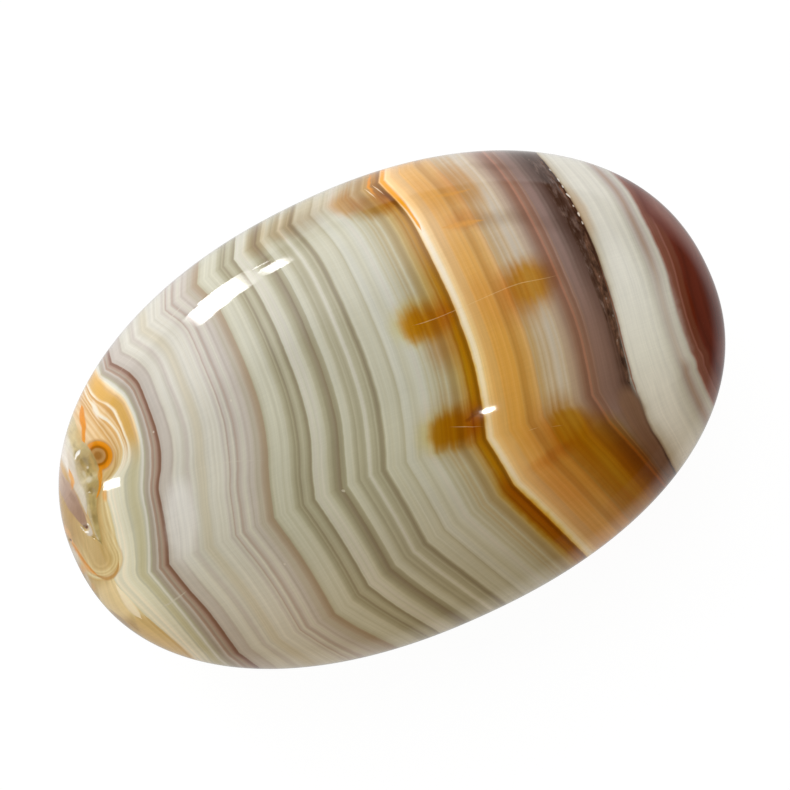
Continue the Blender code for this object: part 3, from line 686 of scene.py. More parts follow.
# Pits that the polish has left in the crown: X, Y, half sizes, turn and share of the full depth
PITS = [
    (-30.1, 9.3, 0.55, 0.3, 33, 1.0), (-29.75, 8.2, 0.35, 0.6, 10, 0.6), (-30.3, 5.3, 0.45, 0.4, 30, 0.6),
    (-32.4, 2.2, 0.4, 0.4, 0, 1.0), (-31.9, 1.0, 0.25, 0.4, 35, 0.5), (-34.4, 1.8, 0.15, 0.2, 0, 0.7),
    (-31.3, 8.3, 0.3, 0.9, 0, 0.35), (-30.8, 6.4, 0.35, 0.6, 0, 0.35), (-31.4, 3.6, 0.25, 0.9, -10, 0.35),
]
# The part of the crown that gets finer faces for them: X and Y
PITTED_X = (-34.9, -28.8)
PITTED_Y = (0.4, 10.4)
# Fibres that stand open along the break: grain per millimetre across and along, and its slant
FIBRE_GRAIN = (3.0, 1.0)
FIBRE_SLANT = 0.4
FIBRE_OPEN = 0.2  # how far they stand open on average, from 0 to 1
FIBRE_CONTRAST = 1.6  # how much that varies with the grain
FIBRE_DEPTH = 0.45  # as a share of the deepest pit
# The run of the open break in plan, as X at a few Y
BREAK_RUN = [(15.6, 24.15), (11.6, 24.9), (7.6, 25.0), (3.6, 24.7), (-0.4, 24.2), (-4.4, 23.4),
             (-7.4, 22.9)]


def linear(hex_colour):
    """An sRGB hex colour as linear red, green, blue and alpha."""
    parts = [int(hex_colour[i : i + 2], 16) / 255 for i in (0, 2, 4)]
    return [c / 12.92 if c <= 0.04045 else ((c + 0.055) / 1.055) ** 2.4 for c in parts] + [1.0]


def colour_wells(table):
    """A colour setting for each named colour of a table."""
    return {
        name: FloatVectorProperty(name=name.replace("_", " ").capitalize(),
                                  description="Colour of the " + shown, subtype="COLOR", size=4, min=0.0,
                                  max=1.0, default=linear(shade))
        for name, (shade, shown) in table.items()
    }


class PALMSTONE_PG_layers(bpy.types.PropertyGroup):
    """The colours of the layers"""

    __annotations__ = colour_wells(PALETTE)


class PALMSTONE_PG_marks(bpy.types.PropertyGroup):
    """The colours of the stains, cracks, painted glints and other marks that cross the layers"""

    __annotations__ = colour_wells(TINTS)


class PALMSTONE_PG_stone(bpy.types.PropertyGroup):
    """Sizes and finish of the polished surface"""

    length: FloatProperty(name="Length", description="End to end, along X", subtype="DISTANCE",
                          unit="LENGTH", default=2 * HALF_LENGTH, min=0.01)
    width: FloatProperty(name="Width", description="Side to side, along Y", subtype="DISTANCE",
                         unit="LENGTH", default=2 * HALF_WIDTH, min=0.01)
    crown: FloatProperty(name="Crown height", description="From the widest section up to the crown",
                         subtype="DISTANCE", unit="LENGTH", default=HALF_THICKNESS, min=0.002)
    flat_ease: FloatProperty(name="Flat edge",
                             description="Height over which the rim of the resting flat is eased",
                             subtype="DISTANCE", unit="LENGTH", default=0.05 * MM, min=0.0)
    pit_depth: FloatProperty(name="Pit depth",
                             description="Depth of the deepest natural pits in the polish",
                             subtype="DISTANCE", unit="LENGTH", default=0.14 * MM, min=0.0)
    roughness: FloatProperty(name="Polish roughness", description="0.05 is a hand-polished calcite",
                             subtype="FACTOR", default=0.05, min=0.0, max=1.0)
    refraction: FloatProperty(name="Refractive index", description="Calcite's mean index", default=1.59,
                              min=1.0, max=2.5)
    striping: FloatProperty(name="Fine striping", description="Contrast of the finest growth lines",
                            subtype="FACTOR", default=1.0, min=0.0, max=2.0)


class PALMSTONE_PG_studio(bpy.types.PropertyGroup):
    """The light and the camera"""

    camera_height: FloatProperty(name="Camera height", description="Lens above the widest section",
                                 subtype="DISTANCE", unit="LENGTH", default=1.2, min=0.2)
    view_turn: FloatProperty(name="View turn", description="How far the stone lies turned in the view",
                             subtype="ANGLE", unit="ROTATION", default=math.radians(25.29))
    ambient: FloatProperty(name="Ambient light", description="Even light from all round", default=0.37,
                           min=0.0)
    fill: FloatProperty(name="Fill light", description="Strength of the big soft light behind the stone",
                        default=1.62, min=0.0)
    window: FloatProperty(name="Window light", description="Brightness of the reflected softboxes",
                          default=15.5, min=0.0)
    floor_glow: FloatProperty(name="Floor glow", description="Light that the lit floor gives by itself",
                              default=0.95, min=0.0)


class PALMSTONE_PG_all(bpy.types.PropertyGroup):
    """Every setting of the palm stone"""

    stone: PointerProperty(type=PALMSTONE_PG_stone, name="Stone", description="Sizes and finish")
    layers: PointerProperty(type=PALMSTONE_PG_layers, name="Layers", description="Colours of the layers")
    marks: PointerProperty(type=PALMSTONE_PG_marks, name="Marks", description="Colours of the marks")
    studio: PointerProperty(type=PALMSTONE_PG_studio, name="Studio", description="Light and camera")


def put(tree, kind, inputs=None, **settings):
    """Add a shader node with its settings, feed its inputs by name or number, return its output."""
    node = tree.nodes.new("ShaderNode" + kind)
    for name, value in settings.items():
        setattr(node, name, value)
    for key, value in (inputs or {}).items():
        if isinstance(value, bpy.types.NodeSocket):
            tree.links.new(value, node.inputs[key])
        else:
            node.inputs[key].default_value = value
    return next(out for out in node.outputs if out.enabled)


def draw_line(tree, along, points, kinks=()):
    """A smooth line through points, read at along, with a sharp turn at each kink."""
    value = put(tree, "FloatCurve", {"Value": along})
    mapping = value.node.mapping
    mapping.use_clip = False
    mapping.extend = "HORIZONTAL"
    curve = mapping.curves[0]
    points = sorted(points)
    for place, at in zip(curve.points, (points[0], points[-1])):
        place.location = at
    for at in points[1:-1]:
        curve.points.new(*at)
    for place in curve.points:
        sharp = any(abs(place.location.x - kink) < 0.01 for kink in kinks)
        place.handle_type = "VECTOR" if sharp else "AUTO_CLAMPED"
    mapping.update()
    return value


def between(tree, place, lines):
    """The coordinate that grows evenly from each line to the next; lines are (number, place)."""
    first, last = lines[0], lines[-1]
    below = put(tree, "Math", {0: place, 1: first[1]}, operation="SUBTRACT")
    total = put(tree, "Math", {0: below, 1: 0.0}, operation="MINIMUM")
    above = put(tree, "Math", {0: place, 1: last[1]}, operation="SUBTRACT")
    above = put(tree, "Math", {0: above, 1: 0.0}, operation="MAXIMUM")
    total = put(tree, "Math", {0: total, 1: above}, operation="ADD")
    total = put(tree, "Math", {0: total, 1: first[0]}, operation="ADD")
    for (number, line), (next_number, next_line) in zip(lines[:-1], lines[1:]):
        step = put(tree, "MapRange", {"Value": place, "From Min": line, "From Max": next_line,
                                      "To Min": 0.0, "To Max": next_number - number})
        total = put(tree, "Math", {0: total, 1: step}, operation="ADD")
    return total


def log_colours(tree, along, log, colours):
    """The colour at each place of a log: full ramps, one after the other."""
    colour = None
    for start in range(0, len(log) - 1, RAMP_STOPS - 1):
        part = log[start : start + RAMP_STOPS]
        low, high = part[0][0], part[-1][0]
        place = put(tree, "MapRange", {"Value": along, "From Min": low, "From Max": high})
        shade = put(tree, "ValToRGB", {"Fac": place})
        ramp = shade.node.color_ramp
        while len(ramp.elements) < len(part):
            ramp.elements.new(0.5)
        for element, (at, name) in zip(ramp.elements, part):
            element.position = (at - low) / (high - low)
            element.color = getattr(colours, name)
        if colour is None:
            colour = shade
        else:
            past = put(tree, "Math", {0: along, 1: low}, operation="GREATER_THAN")
            colour = put(tree, "Mix", {"Factor": past, 6: colour, 7: shade}, data_type="RGBA")
    return colour


def patches(tree, plane, ovals):
    """How strongly some soft ovals cover each point.

    Each is given as x, y, half sizes, turn, softness and strength. It keeps to plain vector
    arithmetic: with a Mapping node for each turn, the renderer would have to hold the place in
    every oval at once.
    """
    clear = 1.0
    for x, y, half_x, half_y, turn, softness, strength in ovals:
        if turn:
            cosine, sine = math.cos(math.radians(turn)), math.sin(math.radians(turn))
            spot = put(tree, "VectorMath", {0: plane, 1: (x, y, 0.0)}, operation="SUBTRACT")
            along = (cosine / half_x, sine / half_x, 0.0)
            along = put(tree, "VectorMath", {0: spot, 1: along}, operation="DOT_PRODUCT")
            across = (-sine / half_y, cosine / half_y, 0.0)
            across = put(tree, "VectorMath", {0: spot, 1: across}, operation="DOT_PRODUCT")
            spot = put(tree, "CombineXYZ", {0: along, 1: across})
        else:
            stretch = (1 / half_x, 1 / half_y, 0.0)
            middle = (-x / half_x, -y / half_y, 0.0)
            spot = put(tree, "VectorMath", {0: plane, 1: stretch, 2: middle}, operation="MULTIPLY_ADD")
        reach = put(tree, "VectorMath", {0: spot}, operation="LENGTH")
        cover = put(tree, "MapRange", {"Value": reach, "From Min": 1 - softness, "From Max": 1 + softness,
                                       "To Min": strength, "To Max": 0.0}, interpolation_type="SMOOTHSTEP")
        left = put(tree, "Math", {0: 1.0, 1: cover}, operation="SUBTRACT")
        clear = put(tree, "Math", {0: clear, 1: left}, operation="MULTIPLY")
    return put(tree, "Math", {0: 1.0, 1: clear}, operation="SUBTRACT")


def line_mark(tree, along, across, points, softness, strength):
    """How strongly a line covers each point; points give its place and half width along its run."""
    middle = draw_line(tree, along, [(at, place) for at, place, half in points])
    ends = [(min(points)[0] - LINE_MARGIN, 0.0), (max(points)[0] + LINE_MARGIN, 0.0)]
    half_width = draw_line(tree, along, [(at, half) for at, place, half in points] + ends)
    half_width = put(tree, "Math", {0: half_width, 1: THINNEST_LINE}, operation="MAXIMUM")
    offset = put(tree, "Math", {0: across, 1: middle}, operation="SUBTRACT")
    offset = put(tree, "Math", {0: offset}, operation="ABSOLUTE")
    outer = put(tree, "Math", {0: half_width, 1: 1 + softness}, operation="MULTIPLY")
    inner = put(tree, "Math", {0: half_width, 1: 1 - softness}, operation="MULTIPLY")
    return put(tree, "MapRange", {"Value": offset, "From Min": outer, "From Max": inner, "To Min": 0.0,
                                  "To Max": strength}, interpolation_type="SMOOTHSTEP")


def stratigraphy(tree, point):
    """The place of each point in the layering: band across the layers, fold along them."""
    split = put(tree, "SeparateXYZ", {0: point}).node
    x, y = split.outputs[0], split.outputs[1]
    lines = [(number, draw_line(tree, x, points)) for number, points in FOLD_LINES]
    fold = between(tree, y, lines)
    layers = [(number, draw_line(tree, y, points)) for number, points in WRAPS]
    layers += [(number, draw_line(tree, fold, points, KINKS)) for number, points in LAYERS]
    return x, y, between(tree, x, layers), fold


def side_cover(tree, x, y, left_side, right_side, softness):
    """Cover between two side lines, and the place across from one to the other."""
    left = draw_line(tree, y, left_side)
    right = draw_line(tree, y, right_side)
    across = put(tree, "MapRange", {"Value": x, "From Min": left, "From Max": right}, clamp=False)
    reach = put(tree, "Math", {0: across, 1: 0.5}, operation="SUBTRACT")
    reach = put(tree, "Math", {0: reach, 1: 2.0}, operation="MULTIPLY")
    reach = put(tree, "Math", {0: reach}, operation="ABSOLUTE")
    cover = put(tree, "MapRange", {"Value": reach, "From Min": 1 - softness, "From Max": 1 + softness,
                                   "To Min": 1.0, "To Max": 0.0}, interpolation_type="SMOOTHSTEP")
    low, high = min(left_side)[0], max(left_side)[0]
    above = put(tree, "MapRange", {"Value": y, "From Min": low - END_OUT, "From Max": low + END_IN})
    below = put(tree, "MapRange", {"Value": y, "From Min": high - END_IN, "From Max": high + END_OUT,
                                   "To Min": 1.0, "To Max": 0.0})
    cover = put(tree, "Math", {0: cover, 1: above}, operation="MULTIPLY")
    cover = put(tree, "Math", {0: cover, 1: below}, operation="MULTIPLY")
    return cover, across


def nucleus(tree, colour, x, y, band, look):
    """The narrow end: stained wraps, the hook, the eye, the glassy pocket and the lens beside it."""
    shades, tints = look.layers, look.marks
    stained = log_colours(tree, band, STAINED_LOG, shades)
    warmth = draw_line(tree, y, WRAP_WARMTH)
    within = put(tree, "Math", {0: band, 1: STAINED_LOG[-1][0]}, operation="LESS_THAN")
    warmth = put(tree, "Math", {0: warmth, 1: within}, operation="MULTIPLY")
    colour = put(tree, "Mix", {"Factor": warmth, 6: colour, 7: stained}, data_type="RGBA")
    # The hook: half rings below its spine, straight limbs above it
    hook_x = put(tree, "Math", {0: x, 1: HOOK_SPINE[0]}, operation="SUBTRACT")
    hook_y = put(tree, "Math", {0: y, 1: HOOK_SPINE[1]}, operation="SUBTRACT")
    hook_y = put(tree, "Math", {0: hook_y, 1: 0.0}, operation="MINIMUM")
    arm = put(tree, "CombineXYZ", {0: hook_x, 1: hook_y})
    reach = put(tree, "VectorMath", {0: arm}, operation="LENGTH")
    rings = log_colours(tree, reach, HOOK_LOG, shades)
    low = put(tree, "MapRange", {"Value": y, "From Min": HOOK_SPINE[1], "From Max": HOOK_TOP, "To Min": 1.0,
                                 "To Max": 0.0})
    near = put(tree, "MapRange", {"Value": reach, "From Min": HOOK_EDGE[0], "From Max": HOOK_EDGE[1],
                                  "To Min": 1.0, "To Max": 0.0})
    cover = put(tree, "Math", {0: low, 1: near}, operation="MULTIPLY")
    colour = put(tree, "Mix", {"Factor": cover, 6: colour, 7: rings}, data_type="RGBA")
    # The eye, of which the pocket has taken the other half
    plan = put(tree, "CombineXYZ", {0: x, 1: y})
    reach = put(tree, "VectorMath", {0: plan, 1: (*EYE, 0.0)}, operation="DISTANCE")
    rings = log_colours(tree, reach, EYE_LOG, shades)
    cover = put(tree, "MapRange", {"Value": reach, "From Min": EYE_EDGE[0], "From Max": EYE_EDGE[1],
                                   "To Min": 1.0, "To Max": 0.0})
    colour = put(tree, "Mix", {"Factor": cover, 6: colour, 7: rings}, data_type="RGBA")
    # The lens, then the glassy pocket with its light outer side
    lens = log_colours(tree, y, LENS_LOG, shades)
    cover = side_cover(tree, x, y, LENS_LEFT, LENS_RIGHT, LENS_SOFTNESS)[0]
    colour = put(tree, "Mix", {"Factor": cover, 6: colour, 7: lens}, data_type="RGBA")
    cover, across = side_cover(tree, x, y, GLASS_LEFT, GLASS_RIGHT, GLASS_SOFTNESS)
    glass = log_colours(tree, y, POCKET_LOG, shades)
    outer = put(tree, "MapRange", {"Value": across, "From Min": 0.0, "From Max": GLASS_RIM,
                                   "To Min": GLASS_RIM_SHARE, "To Max": 0.0})
    glass = put(tree, "Mix", {"Factor": outer, 6: glass, 7: tints.glass_light}, data_type="RGBA")
    swirl = put(tree, "TexNoise", {"Vector": plan, "Scale": GLASS_CLOUD, "Detail": 3.0, "Distortion": 0.6})
    swirl = put(tree, "MapRange", {"Value": swirl, "From Min": 0.35, "From Max": 0.65,
                                   "To Min": 1 - GLASS_SWIRL, "To Max": 1 + GLASS_SWIRL})
    glass = put(tree, "VectorMath", {0: glass, "Scale": swirl}, operation="SCALE")
    return put(tree, "Mix", {"Factor": cover, 6: colour, 7: glass}, data_type="RGBA")


def layered_place(tree, place):
    """The place of each point as the layers see it: they dip, lean and waver."""
    # The layers dip: below the widest section they come out further along
    height = put(tree, "SeparateXYZ", {0: place}).node.outputs[2]
    depth = put(tree, "MapRange", {"Value": height, "From Min": GIRDLE / MM, "From Max": 0.0})
    depth = put(tree, "Math", {0: depth, 1: depth}, operation="MULTIPLY")
    layered = put(tree, "VectorMath", {0: depth, 1: DIP, 2: place}, operation="MULTIPLY_ADD")
    lean = put(tree, "MapRange", {"Value": height, "From Min": GIRDLE / MM, "From Max": GIRDLE / MM + 1,
                                  "To Min": 1.0, "To Max": 1 + LEAN}, clamp=False)
    layered = put(tree, "VectorMath", {0: layered, "Scale": lean}, operation="SCALE")
    for scale, reach in WAVERING:
        waver = put(tree, "TexNoise", {"Vector": place, "Scale": scale, "Detail": 2.0})
        waver = waver.node.outputs["Color"]
        waver = put(tree, "VectorMath", {0: waver, 1: NOISE_MIDDLE}, operation="SUBTRACT")
        layered = put(tree, "VectorMath", {0: waver, 1: (reach, reach, 0.0), 2: layered},
                      operation="MULTIPLY_ADD")
    return layered


def red_core(tree, colour, band, fold, tints):
    """Beyond the red core the shell turns mauve, then pale."""
    core = draw_line(tree, fold, CORE_EDGE)
    past = put(tree, "Math", {0: band, 1: core}, operation="SUBTRACT")
    for name, start, end in CORE_SHELLS:
        shell = put(tree, "MapRange", {"Value": past, "From Min": start, "From Max": end})
        colour = put(tree, "Mix", {"Factor": shell, 6: colour, 7: getattr(tints, name)}, data_type="RGBA")
    return colour


def lay_marks(tree, colour, tints, marks, blend="MIX"):
    """Lay one mark after the other over the colour; marks give a tint's name and its cover."""
    for name, cover in marks:
        colour = put(tree, "Mix", {"Factor": cover, 6: colour, 7: getattr(tints, name)}, data_type="RGBA",
                     blend_type=blend)
    return colour


def drawn(tree, x, y, lines):
    """Tint and cover of each drawn line; its first word says whether it runs across or along."""
    for run, name, points, softness, strength in lines:
        along, across = (x, y) if run == "across" else (y, x)
        yield name, line_mark(tree, along, across, points, softness, strength)


def open_break(tree, colour, band, fold, layers):
    """The dark layer's splinters and the fibres of broken calcite along the open break."""
    fibres = put(tree, "CombineXYZ", {0: band, 1: fold})
    fibres = put(tree, "VectorMath", {0: fibres, 1: FIBRE_STRETCH}, operation="MULTIPLY")
    fibres = put(tree, "TexNoise", {"Vector": fibres, "Scale": 1.0, "Detail": 4.0, "Roughness": 0.6})
    for log, run, softness, strength in ((SPLINTER_LOG, SPLINTERS, 0.5, 0.75),
                                         (BREAK_LOG, BREAK, 0.25, 0.85)):
        shown = log_colours(tree, fibres, log, layers)
        broken = line_mark(tree, fold, band, run, softness, strength)
        colour = put(tree, "Mix", {"Factor": broken, 6: colour, 7: shown}, data_type="RGBA")
    return colour


def growth_lines(tree, colour, band, fold, striping):
    """Growth lines finer than the log, grain along the layers, and cloudy patches."""
    for stretch, detail, contrast, striped in GROWTH_LINES:
        reach = contrast * striping if striped else contrast
        where = put(tree, "CombineXYZ", {0: band, 1: fold})
        where = put(tree, "VectorMath", {0: where, 1: (*stretch, 0.0)}, operation="MULTIPLY")
        shade = put(tree, "TexNoise", {"Vector": where, "Scale": 1.0, "Detail": detail})
        shade = put(tree, "MapRange", {"Value": shade, "From Min": 0.3, "From Max": 0.7,
                                       "To Min": 1 - reach, "To Max": 1 + reach})
        colour = put(tree, "VectorMath", {0: colour, "Scale": shade}, operation="SCALE")
    return colour


def banded_calcite(look):
    """Calcite onyx, ground and polished: thin growth layers, stained by iron along its cracks.

    It gives the eye sharp parallel bands with a soft grain, under a clear glossy polish.
    """
    material = bpy.data.materials.new("polished_banded_calcite")
    material.use_nodes = True
    tree = material.node_tree
    shader = tree.nodes["Principled BSDF"]
    stone, tints = look.stone, look.marks
    place = tree.nodes.new("ShaderNodeTexCoord").outputs["Object"]
    place = put(tree, "VectorMath", {0: place, "Scale": 1 / MM}, operation="SCALE")
    layered = layered_place(tree, place)
    x, y, band, fold = stratigraphy(tree, layered)
    colour = log_colours(tree, band, BAND_LOG, look.layers)
    colour = red_core(tree, colour, band, fold, tints)
    colour = nucleus(tree, colour, x, y, band, look)

    # Marks: their edges are ragged, so the plane they lie on is shaken a little
    ragged = put(tree, "TexNoise", {"Vector": place, "Scale": RAGGED_GRAIN, "Detail": 4.0})
    ragged = ragged.node.outputs["Color"]
    ragged = put(tree, "VectorMath", {0: ragged, 1: NOISE_MIDDLE}, operation="SUBTRACT")
    strata = put(tree, "CombineXYZ", {0: band, 1: fold})
    strata = put(tree, "VectorMath", {0: ragged, 1: STRATA_RAGGED, 2: strata}, operation="MULTIPLY_ADD")
    plan = put(tree, "VectorMath", {0: layered, 1: (1.0, 1.0, 0.0)}, operation="MULTIPLY")
    plan = put(tree, "VectorMath", {0: ragged, 1: PLAN_RAGGED, 2: plan}, operation="MULTIPLY_ADD")
    marks = ((name, patches(tree, strata, ovals)) for name, ovals in LAYER_PATCHES.items())
    colour = lay_marks(tree, colour, tints, marks)
    colour = open_break(tree, colour, band, fold, look.layers)
    colour = lay_marks(tree, colour, tints, drawn(tree, x, y, END_LINES))
    marks = ((name, patches(tree, plan, ovals)) for name, ovals in END_PATCHES)
    colour = lay_marks(tree, colour, tints, marks)
    # Stains filter what they soak into, and creep further along some layers than along others
    creep = put(tree, "CombineXYZ", {0: band})
    creep = put(tree, "TexNoise", {"Vector": creep, "Scale": CREEP_GRAIN, "Detail": 2.0})
    creep = put(tree, "Math", {0: creep, 1: 0.5}, operation="SUBTRACT")
    creep = put(tree, "CombineXYZ", {1: creep})
    soaked = put(tree, "VectorMath", {0: creep, 1: (0.0, CREEP, 0.0), 2: strata}, operation="MULTIPLY_ADD")
    marks = ((name, patches(tree, soaked, ovals)) for name, ovals in STAINS.items())
    colour = lay_marks(tree, colour, tints, marks, "MULTIPLY")
    marks = ((name, patches(tree, strata, ovals)) for name, ovals in SHADOWS.items())
    colour = lay_marks(tree, colour, tints, marks, "MULTIPLY")
    colour = lay_marks(tree, colour, tints, drawn(tree, band, fold, LAYER_LINES))

    # Painted shade: the stone is tinted warmer and a little darker towards the side away from the light
    warmth = log_colours(tree, y, SIDE_SHADE_TINT, look.layers)
    colour = put(tree, "Mix", {"Factor": 1.0, 6: colour, 7: warmth}, data_type="RGBA",
                 blend_type="MULTIPLY")
    # Painted light: a few ovals by the thin rim are made lighter
    lit = patches(tree, plan, PAINTED_LIGHT_OVALS)
    lit = put(tree, "MapRange", {"Value": lit, "To Min": 1.0, "To Max": PAINTED_LIGHT_GAIN})
    colour = put(tree, "VectorMath", {0: colour, "Scale": lit}, operation="SCALE")
    colour = growth_lines(tree, colour, band, fold, stone.striping)
    tree.links.new(colour, shader.inputs["Base Color"])
    shader.inputs["Roughness"].default_value = stone.roughness
    shader.inputs["IOR"].default_value = stone.refraction
    return material


def pebble_point(direction, stone):
    """The point of the pebble's surface that lies in this direction from its middle."""
    x, y, z = direction
    outline = abs(x) ** OUTLINE_EXPONENT + abs(y) ** OUTLINE_EXPONENT
    section = outline ** (SECTION_EXPONENT / OUTLINE_EXPONENT) + abs(z) ** SECTION_EXPONENT
    reach = section ** (-1 / SECTION_EXPONENT)
    along, across, up = x * reach, y * reach, z * reach
    height = GIRDLE + stone.crown * up
    # The resting flat, with its rim eased over a little height
    if height < -stone.flat_ease:
        height = 0.0
    elif height < stone.flat_ease:
        height = (height + stone.flat_ease) ** 2 / (4 * stone.flat_ease)
    return Vector((stone.length / 2 * MESH_INSET * along,
                   stone.width / 2 * MESH_INSET * across * (1 + END_TAPER * along) + SIDE_BOW * along**2,
                   height))


def break_offset(x, y):
    """How far a place in plan lies from the run of the open break, in millimetres."""
    run = sorted(BREAK_RUN)
    for (y0, x0), (y1, x1) in zip(run[:-1], run[1:]):
        if y0 <= y <= y1:
            return abs(x - x0 - (x1 - x0) * (y - y0) / (y1 - y0))
    return math.inf


def pitting(x, y):
    """How deep the polish is pitted at a place in plan, from 0 to 1."""
    depth = 0.0
    for at_x, at_y, half_x, half_y, turn, share in PITS:
        turn = math.radians(turn)
        dx, dy = x - at_x, y - at_y
        along = (dx * math.cos(turn) + dy * math.sin(turn)) / half_x
        across = (dy * math.cos(turn) - dx * math.sin(turn)) / half_y
        depth = max(depth, share * max(0.0, 1 - along**2 - across**2))
    # Fibres of the broken layer run along it
    offset = break_offset(x, y)
    if offset < BREAK_REACH:
        grain = noise.noise(Vector((x * FIBRE_GRAIN[0] + y * FIBRE_SLANT, y * FIBRE_GRAIN[1], 0.0)))
        open_share = min(1.0, max(0.0, FIBRE_OPEN + FIBRE_CONTRAST * grain))
        depth = max(depth, FIBRE_DEPTH * (1 - offset / BREAK_REACH) * open_share)
    return depth


class PALMSTONE_OT_surface(bpy.types.Operator):
    """Model the polished surface over the stone's solid"""

    bl_idname = "palmstone.surface"
    bl_label = "Polished surface"

    def execute(self, context):
        look = context.scene.palmstone
        bpy.ops.object.select_all(action="DESELECT")
        bpy.ops.mesh.primitive_cube_add(size=2)
        surface = context.active_object
        surface.name = surface.data.name = "palm_stone_surface"
        bpy.ops.object.mode_set(mode="EDIT")
        bpy.ops.mesh.subdivide(number_cuts=SURFACE_CUTS)
        bpy.ops.mesh.select_all(action="DESELECT")
        bpy.ops.object.mode_set(mode="OBJECT")
        # Finer faces where the crown is pitted
        for face in surface.data.polygons:
            spot = pebble_point(face.center.normalized(), look.stone)
            x, y = spot.x / MM, spot.y / MM
            pitted = PITTED_X[0] < x < PITTED_X[1] and PITTED_Y[0] < y < PITTED_Y[1]
            face.select = spot.z > GIRDLE and (pitted or break_offset(x, y) < 2 * BREAK_REACH)
        bpy.ops.object.mode_set(mode="EDIT")
        bpy.ops.mesh.subdivide(number_cuts=PIT_CUTS)
        bpy.ops.object.mode_set(mode="OBJECT")
        for vert in surface.data.vertices:
            vert.co = pebble_point(vert.co.normalized(), look.stone)
        surface.data.update()
        outward = [vert.normal.copy() for vert in surface.data.vertices]
        for vert, normal in zip(surface.data.vertices, outward):
            if vert.co.z > GIRDLE:
                depth = look.stone.pit_depth * pitting(vert.co.x / MM, vert.co.y / MM)
                # A hand-held polish leaves the crown very slightly uneven
                depth += POLISH_RIPPLE * (1 + noise.noise(vert.co / MM * RIPPLE_SCALE))
                vert.co -= normal * depth * min(1.0, (vert.co.z - GIRDLE) / MM)
        bpy.ops.object.shade_smooth()
        surface.data.materials.append(banded_calcite(look))
        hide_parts("palm_stone")
        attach(surface, "root")
        return {"FINISHED"}


def lit_white_paper(glow):
    """White seamless paper, lit so evenly that it casts its own light: it shows almost no shadow."""
    paper = bpy.data.materials.new("lit_white_paper")
    paper.use_nodes = True
    shader = paper.node_tree.nodes["Principled BSDF"]
    shader.inputs["Base Color"].default_value = linear(PAPER_SHADE)
    shader.inputs["Roughness"].default_value = PAPER_ROUGHNESS
    shader.inputs["Specular IOR Level"].default_value = 0.0
    shader.inputs["Emission Color"].default_value = (1, 1, 1, 1)
    shader.inputs["Emission Strength"].default_value = glow
    return paper


def studio_light(ambient):
    """Even light from all round, but reflections see the lit paper's sweep and the window's haze."""
    world = bpy.data.worlds.new("studio_light")
    world.use_nodes = True
    tree = world.node_tree
    backdrop = tree.nodes["Background"]
    backdrop.inputs["Color"].default_value = (1, 1, 1, 1)
    outlook = tree.nodes.new("ShaderNodeTexCoord").outputs["Generated"]
    height = put(tree, "SeparateXYZ", {0: outlook}).node.outputs[2]
    sweep = put(tree, "MapRange", {"Value": height, "From Min": SWEEP_TOP[0], "From Max": SWEEP_TOP[1],
                                   "To Min": SWEEP_GLOW, "To Max": 0.0}, interpolation_type="SMOOTHSTEP")
    compass = put(tree, "VectorMath", {0: outlook, 1: (1.0, 1.0, 0.0)}, operation="MULTIPLY")
    compass = put(tree, "VectorMath", {0: compass}, operation="NORMALIZE")
    side = put(tree, "VectorMath", {0: compass, 1: SWEEP_TOWARDS}, operation="DOT_PRODUCT")
    side = put(tree, "MapRange", {"Value": side, "From Min": SWEEP_SIDES[0], "From Max": SWEEP_SIDES[1],
                                  "To Min": SWEEP_LEAST}, interpolation_type="SMOOTHSTEP")
    sweep = put(tree, "Math", {0: sweep, 1: side}, operation="MULTIPLY")
    under = put(tree, "MapRange", {"Value": height, "From Min": PAPER_REACH[0], "From Max": PAPER_REACH[1],
                                   "To Max": PAPER_GLOW}, interpolation_type="SMOOTHSTEP")
    sweep = put(tree, "Math", {0: sweep, 1: under}, operation="MAXIMUM")
    haze = put(tree, "VectorMath", {0: outlook, 1: HAZE_TOWARDS}, operation="DOT_PRODUCT")
    haze = put(tree, "MapRange", {"Value": haze, "From Min": HAZE_SPREAD[0], "From Max": HAZE_SPREAD[1],
                                  "To Max": HAZE_GLOW}, interpolation_type="SMOOTHSTEP")
    sweep = put(tree, "Math", {0: sweep, 1: haze}, operation="ADD")
    mirrored = tree.nodes.new("ShaderNodeLightPath").outputs["Is Glossy Ray"]
    light = put(tree, "Mix", {"Factor": mirrored, 2: ambient, 3: sweep})
    tree.links.new(light, backdrop.inputs["Strength"])
    return world


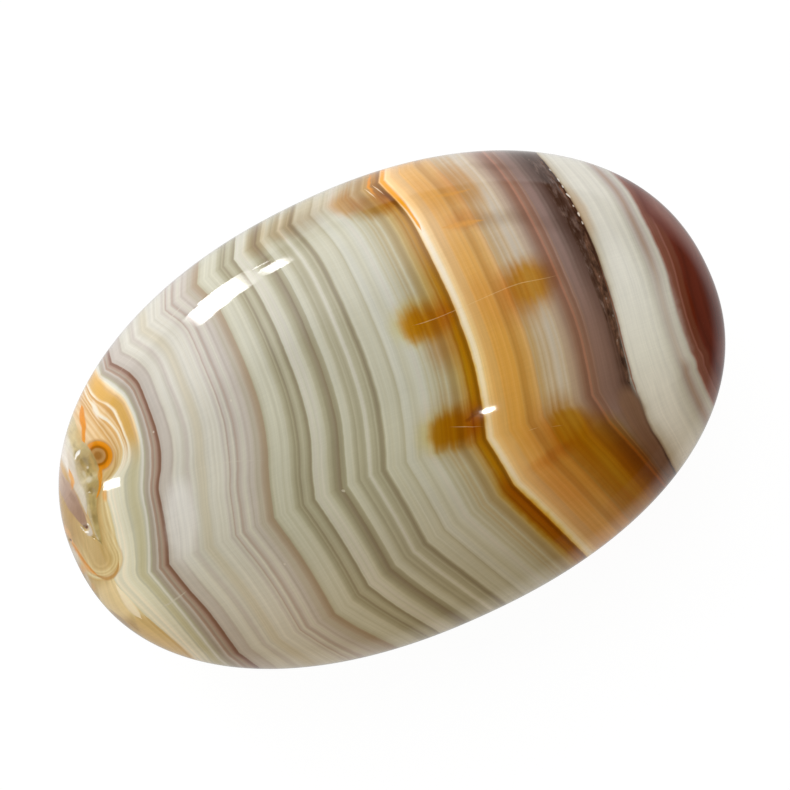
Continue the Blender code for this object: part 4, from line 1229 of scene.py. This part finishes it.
class PALMSTONE_OT_studio(bpy.types.Operator):
    """Set the pale floor, the soft light and the camera"""

    bl_idname = "palmstone.studio"
    bl_label = "Studio"

    def execute(self, context):
        scene = context.scene
        studio = scene.palmstone.studio
        scene.view_settings.view_transform = "Standard"
        bpy.ops.object.select_all(action="DESELECT")
        bpy.ops.mesh.primitive_plane_add(size=FLOOR_SIZE)
        floor = context.active_object
        floor.name = "studio_floor"
        floor.data.materials.append(lit_white_paper(studio.floor_glow))
        floor.visible_glossy = False  # the polish mirrors the world's sweep instead
        floor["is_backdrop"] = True

        scene.world = studio_light(studio.ambient)
        middle = Vector((0, 0, GIRDLE))
        for name, towards, width, height, roll, share in SOFTBOXES:
            outward = Vector(towards).normalized()
            side = outward.cross((0, 0, 1)).normalized()
            up = side.cross(outward)
            wide = side * math.cos(math.radians(roll)) + up * math.sin(math.radians(roll))
            tall = up * math.cos(math.radians(roll)) - side * math.sin(math.radians(roll))
            bpy.ops.object.light_add(type="AREA", location=middle + outward * LIGHT_DISTANCE)
            light = context.active_object
            light.name = name
            light.rotation_mode = "QUATERNION"
            light.rotation_quaternion = Matrix((-wide, tall, outward)).transposed().to_quaternion()
            light.data.shape = "RECTANGLE"
            light.data.size = width
            light.data.size_y = height
            light.visible_glossy = name != "fill_light"
            radiance = studio.fill if name == "fill_light" else studio.window * share
            light.data.energy = radiance * math.pi * width * height

        bpy.ops.object.camera_add(location=(VIEW_CENTRE[0], VIEW_CENTRE[1], GIRDLE + studio.camera_height),
                                  rotation=(0, 0, -studio.view_turn))
        camera = context.active_object
        camera.data.lens = camera.data.sensor_width * studio.camera_height / VIEW_WIDTH
        scene.camera = camera
        return {"FINISHED"}


class PALMSTONE_PT_panel(bpy.types.Panel):
    """The stone's pieces and settings"""

    bl_idname = "PALMSTONE_PT_panel"
    bl_label = "Banded calcite palm stone"
    bl_space_type = "VIEW_3D"
    bl_region_type = "UI"
    bl_category = "Palm stone"

    def draw(self, context):
        look = context.scene.palmstone
        for title, group in (("Stone", look.stone), ("Studio", look.studio), ("Layers", look.layers),
                             ("Marks", look.marks)):
            box = self.layout.box()
            box.label(text=title)
            for name in type(group).__annotations__:
                box.prop(group, name)
        for operator in (PALMSTONE_OT_surface, PALMSTONE_OT_studio):
            self.layout.operator(operator.bl_idname)


CLASSES = (
    PALMSTONE_PG_layers,
    PALMSTONE_PG_marks,
    PALMSTONE_PG_stone,
    PALMSTONE_PG_studio,
    PALMSTONE_PG_all,
    PALMSTONE_OT_surface,
    PALMSTONE_OT_studio,
    PALMSTONE_PT_panel,
)


def register():
    for cls in CLASSES:
        bpy.utils.register_class(cls)
    bpy.types.Scene.palmstone = PointerProperty(type=PALMSTONE_PG_all)


def unregister():
    del bpy.types.Scene.palmstone
    for cls in reversed(CLASSES):
        bpy.utils.unregister_class(cls)


def main():
    register()
    bpy.ops.palmstone.surface()
    bpy.ops.palmstone.studio()
    boxes = {"cad": CAD_BOX, "visual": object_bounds()}
    boxes = {name: [list(corner) for corner in box] for name, box in boxes.items()}


if __name__ == "__main__":
    main()
